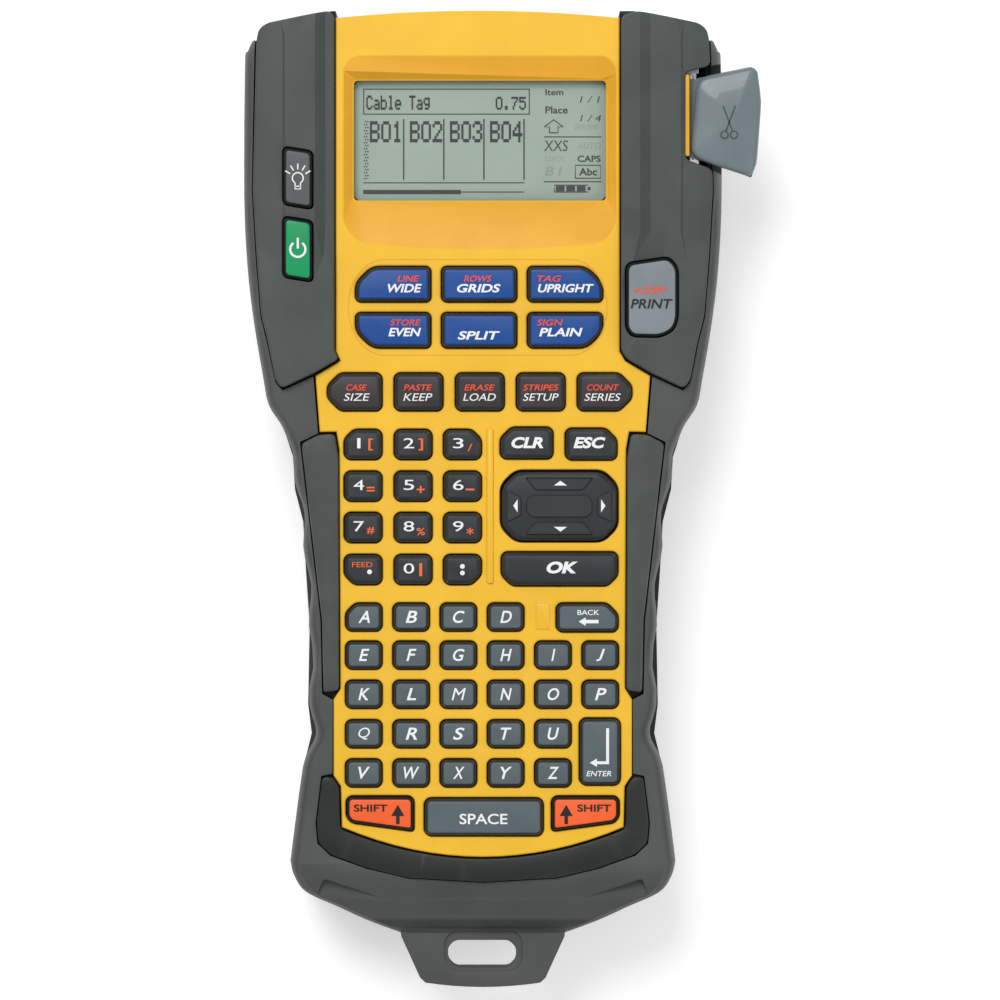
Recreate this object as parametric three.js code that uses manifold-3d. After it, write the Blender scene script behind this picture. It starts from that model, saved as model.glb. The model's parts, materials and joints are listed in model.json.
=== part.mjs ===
// Handheld label maker lying on its back.
// +X is the cutter side, +Y the label exit end, +Z points out of the key face. Millimetres.
import * as THREE from "three";
import { mergeVertices } from "three/addons/utils/BufferGeometryUtils.js";
import Module from "manifold-3d";

const wasm = await Module();
wasm.setup();

// ---------------------------------------------------------------- driving dimensions
const FACE_Z = 50; // yellow key face
const SEAT_Z = 48; // seat under the dark cover panels
const SPLIT_Z = 26; // joint between the back shell and the front shell
const CAVITY_TOP_Z = 45.6; // inside of the front shell
const WALL = 2.6;
const FRONT_WALL = 1.4; // skirt of the front shell, which the bumper wraps
const GAP = 0.3; // clearance between pieces that touch on the real object
const UPPER_PANEL_Z = 53;
const GRIP_PANEL_Z = 51.5;
const CHIN_PANEL_Z = 51;

const BOARD_Z = 40;
const BOARD_THICKNESS = 1.6;
const KEY_BASE_Z = 43.2;
const KEY_FLANGE_Z = 45.3;
const KEY_FLANGE = 0.8; // how far a key's flange reaches past its opening
const KEY_CLEARANCE = 0.35; // between a key and its opening
const KEY_BEVEL = 0.9;
const CORNER_CUT = 1.3; // small corner of an ordinary key

const FRAME_Z = 36; // underside of the mechanism frame
const FRAME_THICKNESS = 1.8;
const TOOTH_MODULE = 0.8;
const GEAR_Z = 33.2;
const GEAR_THICKNESS = 2;
const MOTOR_AT = [52, 96];
const IDLER_AT = [39.37, 98.04];
const PLATEN_AT = [38.7, 112];
const TAPE_SPOOL_AT = [-12, 88];
const RIBBON_SPOOL_AT = [26, 60];
const SPINDLE_RADIUS = 3;
const RUNNING_CLEARANCE = 0.06;

const LEVER_PIVOT = [57.5, 46]; // x and z of the cutter lever's pin
const LEVER_PIN_RADIUS = 1.5;
const CASSETTE_Z = [5, 30];
const DOOR_HALF_WIDTH = 43.6;
const DOOR_Y = [36.6, 119.6];
const BATTERY_DOOR_Y = [-94, 9];
const BATTERY_DOOR_HALF_WIDTH = 25;
const HANDLE_BACK_Z = 6; // the handle's back stands off the rest plane by this much
const SCREWS_AT = [[-51, 108], [49.5, 74], [-33, -95], [33, -95]];

// Outer body: y, half width, height of the back surface, height of the front surface.
const BODY_STATIONS = [
  [135, 43.5, 13, FACE_Z],
  [133.6, 50.5, 9, FACE_Z],
  [131.6, 58.8, 6, FACE_Z],
  [129.5, 62.6, 4, FACE_Z],
  [124, 65.6, 1.2, FACE_Z],
  [120, 66.2, 0, FACE_Z],
  [85, 66.5, 0, FACE_Z],
  [65, 65.5, 0, FACE_Z],
  [49.5, 63.7, 0, FACE_Z],
  [34, 61.1, 0, FACE_Z],
  [26.3, 59.5, 0, FACE_Z],
  [20, 55.6, 0, FACE_Z],
  [12, 53, HANDLE_BACK_Z, FACE_Z],
  [3, 52.5, HANDLE_BACK_Z, FACE_Z],
  [-6, 50.2, HANDLE_BACK_Z, FACE_Z],
  [-20, 49.4, HANDLE_BACK_Z, FACE_Z],
  [-35, 48.4, HANDLE_BACK_Z, FACE_Z],
  [-57, 48.8, HANDLE_BACK_Z, FACE_Z],
  [-65, 47.8, HANDLE_BACK_Z, FACE_Z],
  [-74, 50, HANDLE_BACK_Z, FACE_Z],
  [-97, 53.1, HANDLE_BACK_Z, FACE_Z],
  [-101, 53.5, 0, FACE_Z],
  [-105, 52.2, 0, FACE_Z - 1],
  [-108.8, 49.2, 2, FACE_Z - 3],
  [-112.7, 40.8, 6, FACE_Z - 5],
  [-116.5, 32.6, 11, FACE_Z - 7],
  [-120, 23.5, 17, FACE_Z - 10],
];

// Half of the line where the rubber bumper meets the face, from the exit end down to the chin.
const FACE_EDGE = [
  [62.9, 120.4],
  [63.6, 85.4],
  [62.6, 68],
  [61.2, 50.6],
  [59.5, 44],
  [57, 32.5],
  [55.2, 30.4],
  [46.6, 34.3],
  [45.3, 18.3],
  [50.3, 15.9],
  [44.6, -33.2],
  [44.2, -53.4],
  [41.2, -55],
  [41.3, -75.6],
  [44.4, -76.2],
  [46, -89],
  [45.5, -94.7],
  [42, -98],
  [32, -101.6],
  [20.6, -104.3],
];
const FACE_EDGE_BOTTOM = -105.5;

// Edges of the yellow bezel.
const BEZEL_LEFT_X = -40.6;
const BEZEL_RIGHT_X = 37.8;
const BEZEL_FLARE = [[39.3, 38.4], [46.2, 34.3], [45, 18.7], [40.4, 18.8], [39.6, 14]];
const BEZEL_HANDLE = [[39.3, -52], [41.2, -55], [41.2, -76], [39.2, -79], [38.9, -90.3]];
const BEZEL_BOTTOM = -98.5;

// ---------------------------------------------------------------- geometry helpers
function toSolid(geometry) {
  geometry.deleteAttribute("normal");
  geometry.deleteAttribute("uv");
  const merged = mergeVertices(geometry, 1e-4);
  return new wasm.Manifold(
    new wasm.Mesh({
      numProp: 3,
      vertProperties: new Float32Array(merged.attributes.position.array),
      triVerts: new Uint32Array(merged.index.array),
    })
  );
}

function toGeometry(solid) {
  const mesh = solid.getMesh();
  const geometry = new THREE.BufferGeometry();
  geometry.setAttribute("position", new THREE.BufferAttribute(mesh.vertProperties, 3));
  geometry.setIndex(new THREE.BufferAttribute(mesh.triVerts, 1));
  geometry.computeVertexNormals();
  return geometry;
}

// A closed skin over rings of equal length. Each ring is counter-clockwise seen from the last one.
function loft(rings) {
  const count = rings[0].length;
  const index = [];
  for (let k = 0; k + 1 < rings.length; k += 1) {
    for (let i = 0; i < count; i += 1) {
      const j = (i + 1) % count;
      const [a, b, c, d] = [k * count + i, k * count + j, (k + 1) * count + j, (k + 1) * count + i];
      index.push(a, b, c, a, c, d);
    }
  }
  const capOf = (ring) => {
    const flat = ring.map((p) => new THREE.Vector2(p.u, p.v));
    return THREE.ShapeUtils.triangulateShape(flat, []);
  };
  const last = (rings.length - 1) * count;
  capOf(rings[0]).forEach(([a, b, c]) => index.push(a, c, b));
  capOf(rings[rings.length - 1]).forEach(([a, b, c]) => index.push(last + a, last + b, last + c));
  const geometry = new THREE.BufferGeometry();
  geometry.setAttribute(
    "position",
    new THREE.Float32BufferAttribute(rings.flat().flatMap((p) => p.point), 3)
  );
  geometry.setIndex(index);
  return toSolid(geometry);
}

const ringAtZ = (outline, z) => outline.map(([x, y]) => ({ u: x, v: y, point: [x, y, z] }));
const ringAtY = (section, y) => section.map(([x, z]) => ({ u: z, v: x, point: [x, y, z] }));
const ringAtX = (section, x) => section.map(([y, z]) => ({ u: y, v: z, point: [x, y, z] }));

// A straight prism of a counter-clockwise outline between two heights.
const prism = (outline, low, high) => loft([ringAtZ(outline, low), ringAtZ(outline, high)]);

const rectangle = (x0, y0, x1, y1) => [[x0, y0], [x1, y0], [x1, y1], [x0, y1]];
const block = (x0, y0, z0, x1, y1, z1) => prism(rectangle(x0, y0, x1, y1), z0, z1);

const mirrored = (outline) => outline.map(([x, y]) => [-x, y]).reverse();

// A counter-clockwise outline grown by a distance, or shrunk by a negative one.
function grown(outline, distance) {
  const count = outline.length;
  return outline.map((point, i) => {
    const before = outline[(i + count - 1) % count];
    const after = outline[(i + 1) % count];
    const into = new THREE.Vector2(point[0] - before[0], point[1] - before[1]).normalize();
    const out = new THREE.Vector2(after[0] - point[0], after[1] - point[1]).normalize();
    const bisector = new THREE.Vector2(into.y + out.y, -into.x - out.x);
    const scale = (2 * distance) / bisector.lengthSq();
    return [point[0] + bisector.x * scale, point[1] + bisector.y * scale];
  });
}

// Points along an arc of a parabola through a start, a top or bottom point, and an end.
function bow(start, peak, end, steps) {
  const control = [2 * peak[0] - (start[0] + end[0]) / 2, 2 * peak[1] - (start[1] + end[1]) / 2];
  const curve = new THREE.QuadraticBezierCurve(
    new THREE.Vector2(...start),
    new THREE.Vector2(...control),
    new THREE.Vector2(...end)
  );
  return curve.getPoints(steps).map((p) => [p.x, p.y]);
}

function circle([x, y], radius, sides) {
  return Array.from({ length: sides }, (_, i) => {
    const angle = (2 * Math.PI * (i + 0.5)) / sides;
    return [x + radius * Math.cos(angle), y + radius * Math.sin(angle)];
  });
}

const cylinder = (centre, radius, low, high, sides = 16) => prism(circle(centre, radius, sides), low, high);

// A hole whose flats stay clear of a shaft of the given radius.
const boreRadius = (shaft, sides = 16) => (shaft + RUNNING_CLEARANCE) / Math.cos(Math.PI / sides);

// A cylinder lying along Y.
function rod([x, z], radius, y0, y1, sides = 16) {
  const section = circle([0, 0], radius, sides).map(([a, b]) => [x + a, z - b]);
  return loft([ringAtY(section, y0), ringAtY(section, y1)]);
}

// Corner cuts are listed from the lower left one, counter-clockwise.
function cutBox(cx, cy, width, height, cuts = [CORNER_CUT, CORNER_CUT, CORNER_CUT, CORNER_CUT]) {
  const [x0, x1] = [cx - width / 2, cx + width / 2];
  const [y0, y1] = [cy - height / 2, cy + height / 2];
  const [a, b, c, d] = cuts;
  return [
    [x0, y0 + a],
    [x0 + a, y0],
    [x1 - b, y0],
    [x1, y0 + b],
    [x1, y1 - c],
    [x1 - c, y1],
    [x0 + d, y1],
    [x0, y1 - d],
  ];
}

const union = (solids) => solids.reduce((sum, next) => sum.add(next));
const without = (solid, cutters) => cutters.reduce((rest, next) => rest.subtract(next), solid);

// ---------------------------------------------------------------- the assembly
const assembly = new THREE.Group();
assembly.name = "label_maker";

function addPiece(name, solid, colour, roughness = 0.6, metalness = 0) {
  const material = new THREE.MeshStandardMaterial({ color: colour, roughness, metalness });
  const mesh = new THREE.Mesh(toGeometry(solid), material);
  mesh.name = name;
  assembly.add(mesh);
}

const YELLOW = 0xefbe30;
const COVER_GREY = 0x4a504e;
const RUBBER_GREY = 0x55595a;
const KEY_GREY = 0x54626a;
const KEY_DARK = 0x2c3436;
const KEY_ORANGE = 0xf0602a;
const SHELL_BLACK = 0x3a3e3d;
const NYLON_CREAM = 0xd8d4c8;
const STEEL = 0xb8bcc0;

// ---------------------------------------------------------------- outlines of the face
function faceOutline(topY) {
  const right = [[62.4, topY], ...FACE_EDGE];
  return [...mirrored(right), ...right, [0, FACE_EDGE_BOTTOM]].reverse();
}

function bezelOutline(topY) {
  const side = [...BEZEL_FLARE, ...BEZEL_HANDLE];
  const corner = BEZEL_HANDLE[BEZEL_HANDLE.length - 1];
  const bottom = bow([-corner[0], corner[1]], [0, BEZEL_BOTTOM], corner, 8).slice(1, -1);
  return [
    [BEZEL_RIGHT_X, topY],
    [BEZEL_LEFT_X, topY],
    [BEZEL_LEFT_X, 41],
    ...side.map(([x, y]) => [-x, y]),
    ...bottom,
    ...[...side].reverse(),
    [BEZEL_RIGHT_X, 41],
  ];
}

// ---------------------------------------------------------------- outer body
// Lower half of the section is rounder than the upper half, which ends in a bevel at the face.
function bodySection(halfWidth, back, front) {
  const rise = front - back;
  const right = [
    [halfWidth - 13, back],
    [halfWidth - 5, back + 0.05 * rise],
    [halfWidth - 1, back + 0.18 * rise],
    [halfWidth, back + 0.42 * rise],
    [halfWidth, back + 0.66 * rise],
    [halfWidth - 0.8, back + 0.84 * rise],
    [halfWidth - 2.4, front],
  ];
  return [...mirrored(right), ...right].reverse();
}

function bodyLoft(stations, inset) {
  const rings = stations.map(([y, halfWidth, back, front]) =>
    ringAtY(bodySection(halfWidth - inset, back + inset, front + inset), y)
  );
  return loft(rings.reverse());
}

const body = bodyLoft(BODY_STATIONS, 0);
const interior = bodyLoft(
  BODY_STATIONS.filter(([y]) => y < 132 && y > -112),
  WALL
);
const slab = (low, high) => block(-90, -150, low, 90, 150, high);

// A cutter that passes right through the face, and a height past the exit end of the body.
const throughFace = (outline) => prism(outline, 40, 60);
const BEYOND_TOP = 140;

// ---------------------------------------------------------------- keys
const HOT_KEY_SWEEP = 4.6;
const NAV_CUT = 4.2;
const KEY_CUT = 1.2; // small corner of a key
const KEY_RISE = 1.8; // of a key's top over the face
const HOT_KEY_RISE = 2;
const LOW_KEY_RISE = 1.6;
const SIDE_BUTTON_RISE = 1.4; // over the upper panel
const shiftOutline = [
  [18.8, -91.6],
  [36.3, -89.2],
  [37.8, -87.4],
  [37.8, -82.7],
  [36.6, -81.5],
  [20, -81.5],
  [18.8, -82.7],
];

const keys = [];
const addKey = (name, outline, rise, colour) => keys.push({ name, outline, top: FACE_Z + rise, colour });

[59.5, 46.8].forEach((y, row) => {
  [-24.7, -1, 22.7].forEach((x, column) => {
    const cuts = [1, 1, 1, 1];
    if (column === 0) cuts[row === 0 ? 3 : 0] = HOT_KEY_SWEEP;
    if (column === 2) cuts[row === 0 ? 2 : 1] = HOT_KEY_SWEEP;
    addKey(`hot_key_${row * 3 + column + 1}`, cutBox(x, y, 21.1, 10.1, cuts), HOT_KEY_RISE, 0x1c4f96);
  });
});
[-35.3, -17.7, -0.8, 16, 33.6].forEach((x, i) => {
  const isEnd = i === 0 || i === 4;
  const outerCut = 3.6;
  const leftCut = i === 0 ? outerCut : KEY_CUT;
  const rightCut = i === 4 ? outerCut : KEY_CUT;
  const edge = cutBox(x, 29.8, isEnd ? 15.4 : 13.8, 10.8, [leftCut, rightCut, rightCut, leftCut]);
  addKey(`function_key_${i + 1}`, edge, KEY_RISE, 0x3e3a3e);
});
addKey("clear_key", cutBox(12.1, 15.7, 14.9, 9.1, [KEY_CUT, KEY_CUT, KEY_CUT, 3.2]), KEY_RISE, KEY_DARK);
addKey("escape_key", cutBox(29.9, 15.4, 14.6, 9.1, [KEY_CUT, KEY_CUT, 3.2, KEY_CUT]), KEY_RISE, KEY_DARK);
addKey("ok_key", cutBox(21.2, -19, 32.5, 9.7, [3, 3, KEY_CUT, KEY_CUT]), KEY_RISE, KEY_DARK);
addKey("backspace_key", cutBox(28.8, -32.4, 17.4, 8.3, [KEY_CUT, KEY_CUT, 3.2, KEY_CUT]), KEY_RISE, KEY_GREY);
addKey("enter_key", cutBox(32.3, -69.4, 11.6, 18.8), KEY_RISE, KEY_GREY);
addKey("space_key", cutBox(0.3, -87.4, 33.1, 10.8), KEY_RISE, KEY_GREY);
addKey("shift_key_left", mirrored(shiftOutline), KEY_RISE, KEY_ORANGE);
addKey("shift_key_right", shiftOutline, KEY_RISE, KEY_ORANGE);

const sideButtons = [];
const addSideButton = (name, outline, colour) =>
  sideButtons.push({ name, outline, top: UPPER_PANEL_Z + SIDE_BUTTON_RISE, colour });
addSideButton("light_button", [[-55.2, 81.2], [-46.6, 79.8], [-46.6, 96.2], [-55.2, 97.6]], 0x54575a);
addSideButton("power_button", [[-55.2, 61.2], [-46.6, 59.8], [-46.6, 77], [-55.2, 78.4]], 0x0a9060);
addSideButton(
  "print_button",
  [[39.2, 47.2], [41, 44.8], [49, 44.6], [52.8, 46.6], [54, 50], [54, 64], [51.4, 67.2], [39.2, 65.4]],
  0x7d878d
);

const navOutline = cutBox(21.1, -1.7, 32.8, 20.1, [NAV_CUT, NAV_CUT, NAV_CUT, NAV_CUT]);

const LETTER_PITCH = 13.04;
const LETTER_ROWS = [[-32.3, 4], [-42.8, 6], [-53.6, 6], [-64.5, 5], [-75.3, 5]];
const letterOutlines = LETTER_ROWS.flatMap(([y, count]) =>
  Array.from({ length: count }, (_, i) => cutBox(-32.8 + LETTER_PITCH * i, y, 10.4, 8.1))
);
const numberOutlines = [15.3, 3.8, -7.6, -19.2].flatMap((y) =>
  [-33, -19.2, -5.6].map((x) => cutBox(x, y, 10.8, 8.7))
);

const keyTop = (outline, base, top) => {
  const side = grown(outline, -KEY_CLEARANCE);
  return loft([
    ringAtZ(side, base),
    ringAtZ(side, top - KEY_BEVEL),
    ringAtZ(grown(side, -KEY_BEVEL), top),
  ]);
};
const flangedKey = (outline, base, flangeTop, top) => {
  const flange = grown(outline, KEY_FLANGE);
  const side = grown(outline, -KEY_CLEARANCE);
  return loft([
    ringAtZ(flange, base),
    ringAtZ(flange, flangeTop),
    ringAtZ(side, flangeTop),
    ringAtZ(side, top - KEY_BEVEL),
    ringAtZ(grown(side, -KEY_BEVEL), top),
  ]);
};

[...keys, ...sideButtons].forEach(({ name, outline, top, colour }) =>
  addPiece(name, flangedKey(outline, KEY_BASE_Z, KEY_FLANGE_Z, top), colour)
);

// The rocker lies on a small gimbal ring, and is thin enough at its rim to tilt both ways.
const NAV_CENTRE = [21.1, -1.7];
const NAV_FLANGE_Z = [43.9, 44.3];
const GIMBAL_Z = [42.3, 43.6];
const gimbalHole = cylinder(NAV_CENTRE, 3, 42, 44);
addPiece("nav_pad", flangedKey(grown(navOutline, -GAP), ...NAV_FLANGE_Z, FACE_Z + LOW_KEY_RISE), KEY_DARK);
addPiece("nav_gimbal", cylinder(NAV_CENTRE, 5, ...GIMBAL_Z).subtract(gimbalHole), NYLON_CREAM);

// One moulded mat carries the letter keys, and another the number keys.
const matClearances = [rectangle(18.9, -37.8, 40, -27), rectangle(25.1, -81, 40, -58.7)].map(throughFace);
const matWith = (x0, y0, x1, y1, outlines) =>
  union([
    block(x0, y0, KEY_BASE_Z, x1, y1, KEY_FLANGE_Z),
    ...outlines.map((outline) => keyTop(outline, KEY_FLANGE_Z - 0.5, FACE_Z + LOW_KEY_RISE)),
  ]);
const letterMat = matWith(-38.4, -80.2, 38, -27.6, letterOutlines);
addPiece("letter_keypad", without(letterMat, matClearances), KEY_GREY);
addPiece("number_keypad", matWith(-39, -24.2, 0.4, 20.4, numberOutlines), KEY_DARK);

// ---------------------------------------------------------------- front shell
const WINDOW = { x: [-35.6, 34], y: [82.7, 115.8] };
const windowOutline = cutBox(
  (WINDOW.x[0] + WINDOW.x[1]) / 2,
  (WINDOW.y[0] + WINDOW.y[1]) / 2,
  WINDOW.x[1] - WINDOW.x[0],
  WINDOW.y[1] - WINDOW.y[0]
);
const RECESS_FLOOR_Z = 47.6;
const recessRim = [
  [-38.5, 73.4],
  [-37.1, 71.6],
  [35.7, 71.6],
  [37.1, 73.4],
  [37.1, 119],
  [34, 121.5],
  [-35.4, 121.5],
  [-38.5, 119],
];
const recessFloor = grown(windowOutline, 0.4);
const recess = loft([ringAtZ(recessFloor, RECESS_FLOOR_Z), ringAtZ(recessRim, FACE_Z + 0.1)]);

const CAVITY_END_Y = 132; // before the front wall is taken off
const leverNotch = (x) => [[x, 94], [70, 88.6], [70, 121.6], [x, 118]];
const leverOpening = rectangle(54.2, 90.5, 70, 121.3);
const labelSlot = block(42.9, 124, 12, 45.3, 140, 36);
const BOSS_RADIUS = 3.6;
const SCREW_HOLE_RADIUS = 1.7;
const screwBosses = (low, high) => SCREWS_AT.map((at) => cylinder(at, BOSS_RADIUS, low, high, 12));
const screwSeat = ([, y]) => (y > 0 ? 4 : 10); // the handle's two screws start higher up
const screwHoles = SCREWS_AT.map((at) => cylinder(at, SCREW_HOLE_RADIUS, -1, SPLIT_Z + 12, 12));

function frontShell() {
  const outline = grown(faceOutline(BEYOND_TOP), -GAP / 2);
  const base = body.intersect(prism(outline, SPLIT_Z + GAP, SEAT_Z));
  const bezel = body.intersect(prism(bezelOutline(BEYOND_TOP), SEAT_Z - 0.5, FACE_Z));
  const cavity = prism(grown(faceOutline(CAVITY_END_Y), -FRONT_WALL), 0, CAVITY_TOP_Z);
  const bosses = screwBosses(SPLIT_Z + GAP, CAVITY_TOP_Z + 0.5);
  const keyOutlines = [...keys, ...sideButtons].map(({ outline: edge }) => edge);
  const matOutlines = [...letterOutlines, ...numberOutlines];
  const openings = [...keyOutlines, ...matOutlines, navOutline, windowOutline, leverOpening];
  const rib = block(1.2, -23, FACE_Z - 0.5, 2.8, 19.7, FACE_Z + 0.9);
  const shell = without(base.add(bezel).subtract(cavity), [...openings.map(throughFace), recess, labelSlot]);
  return without(union([shell, ...bosses, rib]), screwHoles);
}
addPiece("front_shell", frontShell(), YELLOW, 0.45);

// ---------------------------------------------------------------- rubber bumper with lanyard loop
const TONGUE_Z = [SPLIT_Z + GAP, 40];
const BUMPER_TOP_Y = 127; // the bumper ends here on each side, below the exit end
const TONGUE_HOLE = cutBox(-0.25, -125.8, 18.9, 7.6, [2, 2, 2, 2]);
function rubberBumper() {
  const ring = body
    .intersect(slab(SPLIT_Z + GAP, FACE_Z))
    .subtract(prism(grown(faceOutline(BEYOND_TOP), GAP / 2), 0, FACE_Z + 1))
    .subtract(throughFace(leverNotch(54)))
    .subtract(block(-80, BUMPER_TOP_Y, 0, 80, BEYOND_TOP, FACE_Z + 1));
  const right = [[16.9, -133.6], [22.8, -120.5], [24, -112]];
  const foot = bow([-16.9, -133.6], [0, -135], [16.9, -133.6], 4).slice(1, -1);
  const tongue = prism([...mirrored(right), ...foot, ...right], ...TONGUE_Z);
  return ring.add(tongue).subtract(prism(TONGUE_HOLE, 0, FACE_Z));
}
addPiece("rubber_bumper", rubberBumper(), RUBBER_GREY, 0.8);

// ---------------------------------------------------------------- cover panels on the face
const bevelledPlate = (outline, low, high, bevel) =>
  loft([ringAtZ(outline, low), ringAtZ(outline, high - bevel), ringAtZ(grown(outline, -bevel), high)]);

// The inner edge of an upper panel follows the bezel, so the two panels differ slightly.
const upperPanelOutline = (innerX) => [
  [47, 34.7],
  [55.3, 30.8],
  [57, 32.8],
  [59.3, 44.2],
  [61, 50.8],
  [62.4, 68.2],
  [63.4, 85.4],
  [62.7, 120.2],
  [62, 130.2],
  [60, 131.4],
  [42.5, 135],
  [innerX, 133.4],
  [innerX, 41.2],
  [39.7, 38.9],
];
const panelOpenings = sideButtons.map(({ outline }) => throughFace(outline));
const upperPanel = (outline) => bevelledPlate(outline, SEAT_Z + GAP, UPPER_PANEL_Z, 1);
const leftUpper = upperPanel(mirrored(upperPanelOutline(-BEZEL_LEFT_X + GAP)));
const rightUpper = upperPanel(upperPanelOutline(BEZEL_RIGHT_X + GAP));
addPiece("left_upper_panel", without(leftUpper, panelOpenings), COVER_GREY);
addPiece(
  "right_upper_panel",
  without(rightUpper, [...panelOpenings, throughFace(leverNotch(55.7))]),
  COVER_GREY
);

const gripOutline = [
  [39.8, 12],
  [39.6, -52.4],
  [43.9, -53.1],
  [44.3, -33.2],
  [50, 15.6],
  [45.4, 18],
  [40.9, 18.2],
];
const gripPanel = (outline) => bevelledPlate(outline, SEAT_Z + GAP, GRIP_PANEL_Z, 0.8);
addPiece("right_grip_panel", gripPanel(gripOutline), COVER_GREY);
addPiece("left_grip_panel", gripPanel(mirrored(gripOutline)), COVER_GREY);

function chinPanel() {
  const right = [[41.4, -76.2], ...FACE_EDGE.slice(-6)];
  const outline = [...mirrored(right), ...right, [0, FACE_EDGE_BOTTOM]].reverse();
  const plate = bevelledPlate(grown(outline, -GAP / 2), SEAT_Z + GAP, CHIN_PANEL_Z, 0.8);
  return plate.subtract(throughFace(grown(bezelOutline(BEYOND_TOP), GAP)));
}
addPiece("chin_panel", chinPanel(), 0x2c302e);

// ---------------------------------------------------------------- display and circuit board
addPiece(
  "display_window",
  bevelledPlate(grown(windowOutline, -GAP), CAVITY_TOP_Z - 1.5, RECESS_FLOOR_Z - 0.4, 0.4),
  0xa9bcae,
  0.1
);
const DISPLAY_SEAT_Z = 40.2;
function lcdModule() {
  const cell = block(-37.2, 80.6, DISPLAY_SEAT_Z, 35.6, 118, 43.8);
  const carrier = block(-38.4, 78.6, 38.6, 36.8, 119, DISPLAY_SEAT_Z);
  return cell.add(carrier);
}
addPiece("lcd_module", lcdModule(), 0x8e9c90);

function mainBoard() {
  const right = [[37, -91], [38.5, -60], [38.5, 12], [43, 30], [43, 74]];
  const board = prism([...right, ...mirrored(right)], BOARD_Z, BOARD_Z + BOARD_THICKNESS);
  const processor = block(-9, 4, BOARD_Z - 1.6, 5, 18, BOARD_Z);
  const memory = block(10, 6, BOARD_Z - 1.4, 18, 16, BOARD_Z);
  const driver = block(18, 36, BOARD_Z - 1.4, 28, 42, BOARD_Z);
  const plug = block(-8, 66, BOARD_Z - 2.2, 10, 71, BOARD_Z);
  return union([board, processor, memory, driver, plug]);
}
addPiece("main_board", mainBoard(), 0x1d6b46, 0.5);

// ---------------------------------------------------------------- back shell and its doors
const CASSETTE_OPENING = [-DOOR_HALF_WIDTH - GAP, DOOR_Y[0] - 0.8, DOOR_HALF_WIDTH + GAP, DOOR_Y[1] + GAP];
const LATCH = { x: 7, y: [120.4, 124.4], travel: 1.6 };
const BATTERY_OPENING = [
  -BATTERY_DOOR_HALF_WIDTH - GAP,
  BATTERY_DOOR_Y[0] - GAP,
  BATTERY_DOOR_HALF_WIDTH + GAP,
  BATTERY_DOOR_Y[1] + GAP,
];
const JACK_Y = 60;
const JACK_Z = 15;
const JACK_OPENING = 5; // half the side of the square opening in the wall
const JACK_BORE_RADIUS = 3.2;

function backShell() {
  const jackLow = [JACK_Y - JACK_OPENING, JACK_Z - JACK_OPENING];
  const jackHigh = [JACK_Y + JACK_OPENING, JACK_Z + JACK_OPENING];
  const jackOpening = block(-70, ...jackLow, -50, ...jackHigh);
  const outer = body.intersect(slab(-1, SPLIT_Z));
  const shell = outer.subtract(interior);
  const bosses = screwBosses(0, SPLIT_Z).map((boss) => boss.intersect(outer));
  const counterbores = SCREWS_AT.map((at) => cylinder(at, 3.4, -1, screwSeat(at), 12));
  const latchSlot = block(-LATCH.x - GAP, DOOR_Y[1], -1, LATCH.x + GAP, LATCH.y[1] + LATCH.travel + GAP, 5);
  return without(union([shell, ...bosses]), [
    block(CASSETTE_OPENING[0], CASSETTE_OPENING[1], -1, CASSETTE_OPENING[2], CASSETTE_OPENING[3], 5),
    block(BATTERY_OPENING[0], BATTERY_OPENING[1], -1, BATTERY_OPENING[2], BATTERY_OPENING[3], 9.5),
    ...screwHoles,
    ...counterbores,
    latchSlot,
    labelSlot,
    jackOpening,
  ]);
}
addPiece("back_shell", backShell(), SHELL_BLACK);

// The door turns about its lower edge, so the edge is rounded there.
const DOOR_HINGE = [DOOR_Y[0] + 1.2, 1.9]; // y and z
const DOOR_BARREL_RADIUS = 1.15;
function cassetteDoor() {
  const plate = block(-DOOR_HALF_WIDTH, DOOR_HINGE[0], 0.8, DOOR_HALF_WIDTH, DOOR_Y[1], 3);
  const barrelSection = circle(DOOR_HINGE, DOOR_BARREL_RADIUS, 12);
  const barrel = loft([ringAtX(barrelSection, -DOOR_HALF_WIDTH), ringAtX(barrelSection, DOOR_HALF_WIDTH)]);
  const ribs = [-30, 0, 30].map((x) => block(x - 1, 50, 2.9, x + 1, 108, 4.4));
  const grip = block(-12, 104, 0.4, 12, 105.4, 3);
  return union([plate, barrel, ...ribs, grip]);
}
addPiece("cassette_door", cassetteDoor(), SHELL_BLACK);

function doorLatch() {
  const slider = block(-LATCH.x, LATCH.y[0], 0.8, LATCH.x, LATCH.y[1], 2.8);
  const nib = block(-4, 121.6, 0.3, 4, 122.8, 1);
  return slider.add(nib);
}
addPiece("door_latch", doorLatch(), 0x6a7072);

function batteryDoor() {
  const plate = block(
    -BATTERY_DOOR_HALF_WIDTH,
    BATTERY_DOOR_Y[0],
    HANDLE_BACK_Z,
    BATTERY_DOOR_HALF_WIDTH,
    BATTERY_DOOR_Y[1],
    HANDLE_BACK_Z + 2.4
  );
  const groove = (y) => block(-9, y, HANDLE_BACK_Z - 1, 9, y + 1, HANDLE_BACK_Z + 0.7);
  return without(plate, [-1.4, 1, 3.4].map(groove));
}
addPiece("battery_door", batteryDoor(), SHELL_BLACK);

// Three cells side by side, two deep, in one shrink-wrapped pack.
const CELL_RADIUS = 7.2;
const CELL_Z = HANDLE_BACK_Z + 11;
function batteryPack() {
  const wrap = block(-2 * CELL_RADIUS, -92.5, CELL_Z - 6.4, 2 * CELL_RADIUS, 7.5, CELL_Z + 6.4);
  const cells = [-1, 0, 1].flatMap((column) =>
    [[-92, -42.6], [-42.6, 7]].map(([y0, y1]) =>
      rod([column * 2 * CELL_RADIUS, CELL_Z], CELL_RADIUS, y0, y1, 12)
    )
  );
  return union([wrap, ...cells]);
}
addPiece("battery_pack", batteryPack(), 0x2f6fb0);

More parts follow.
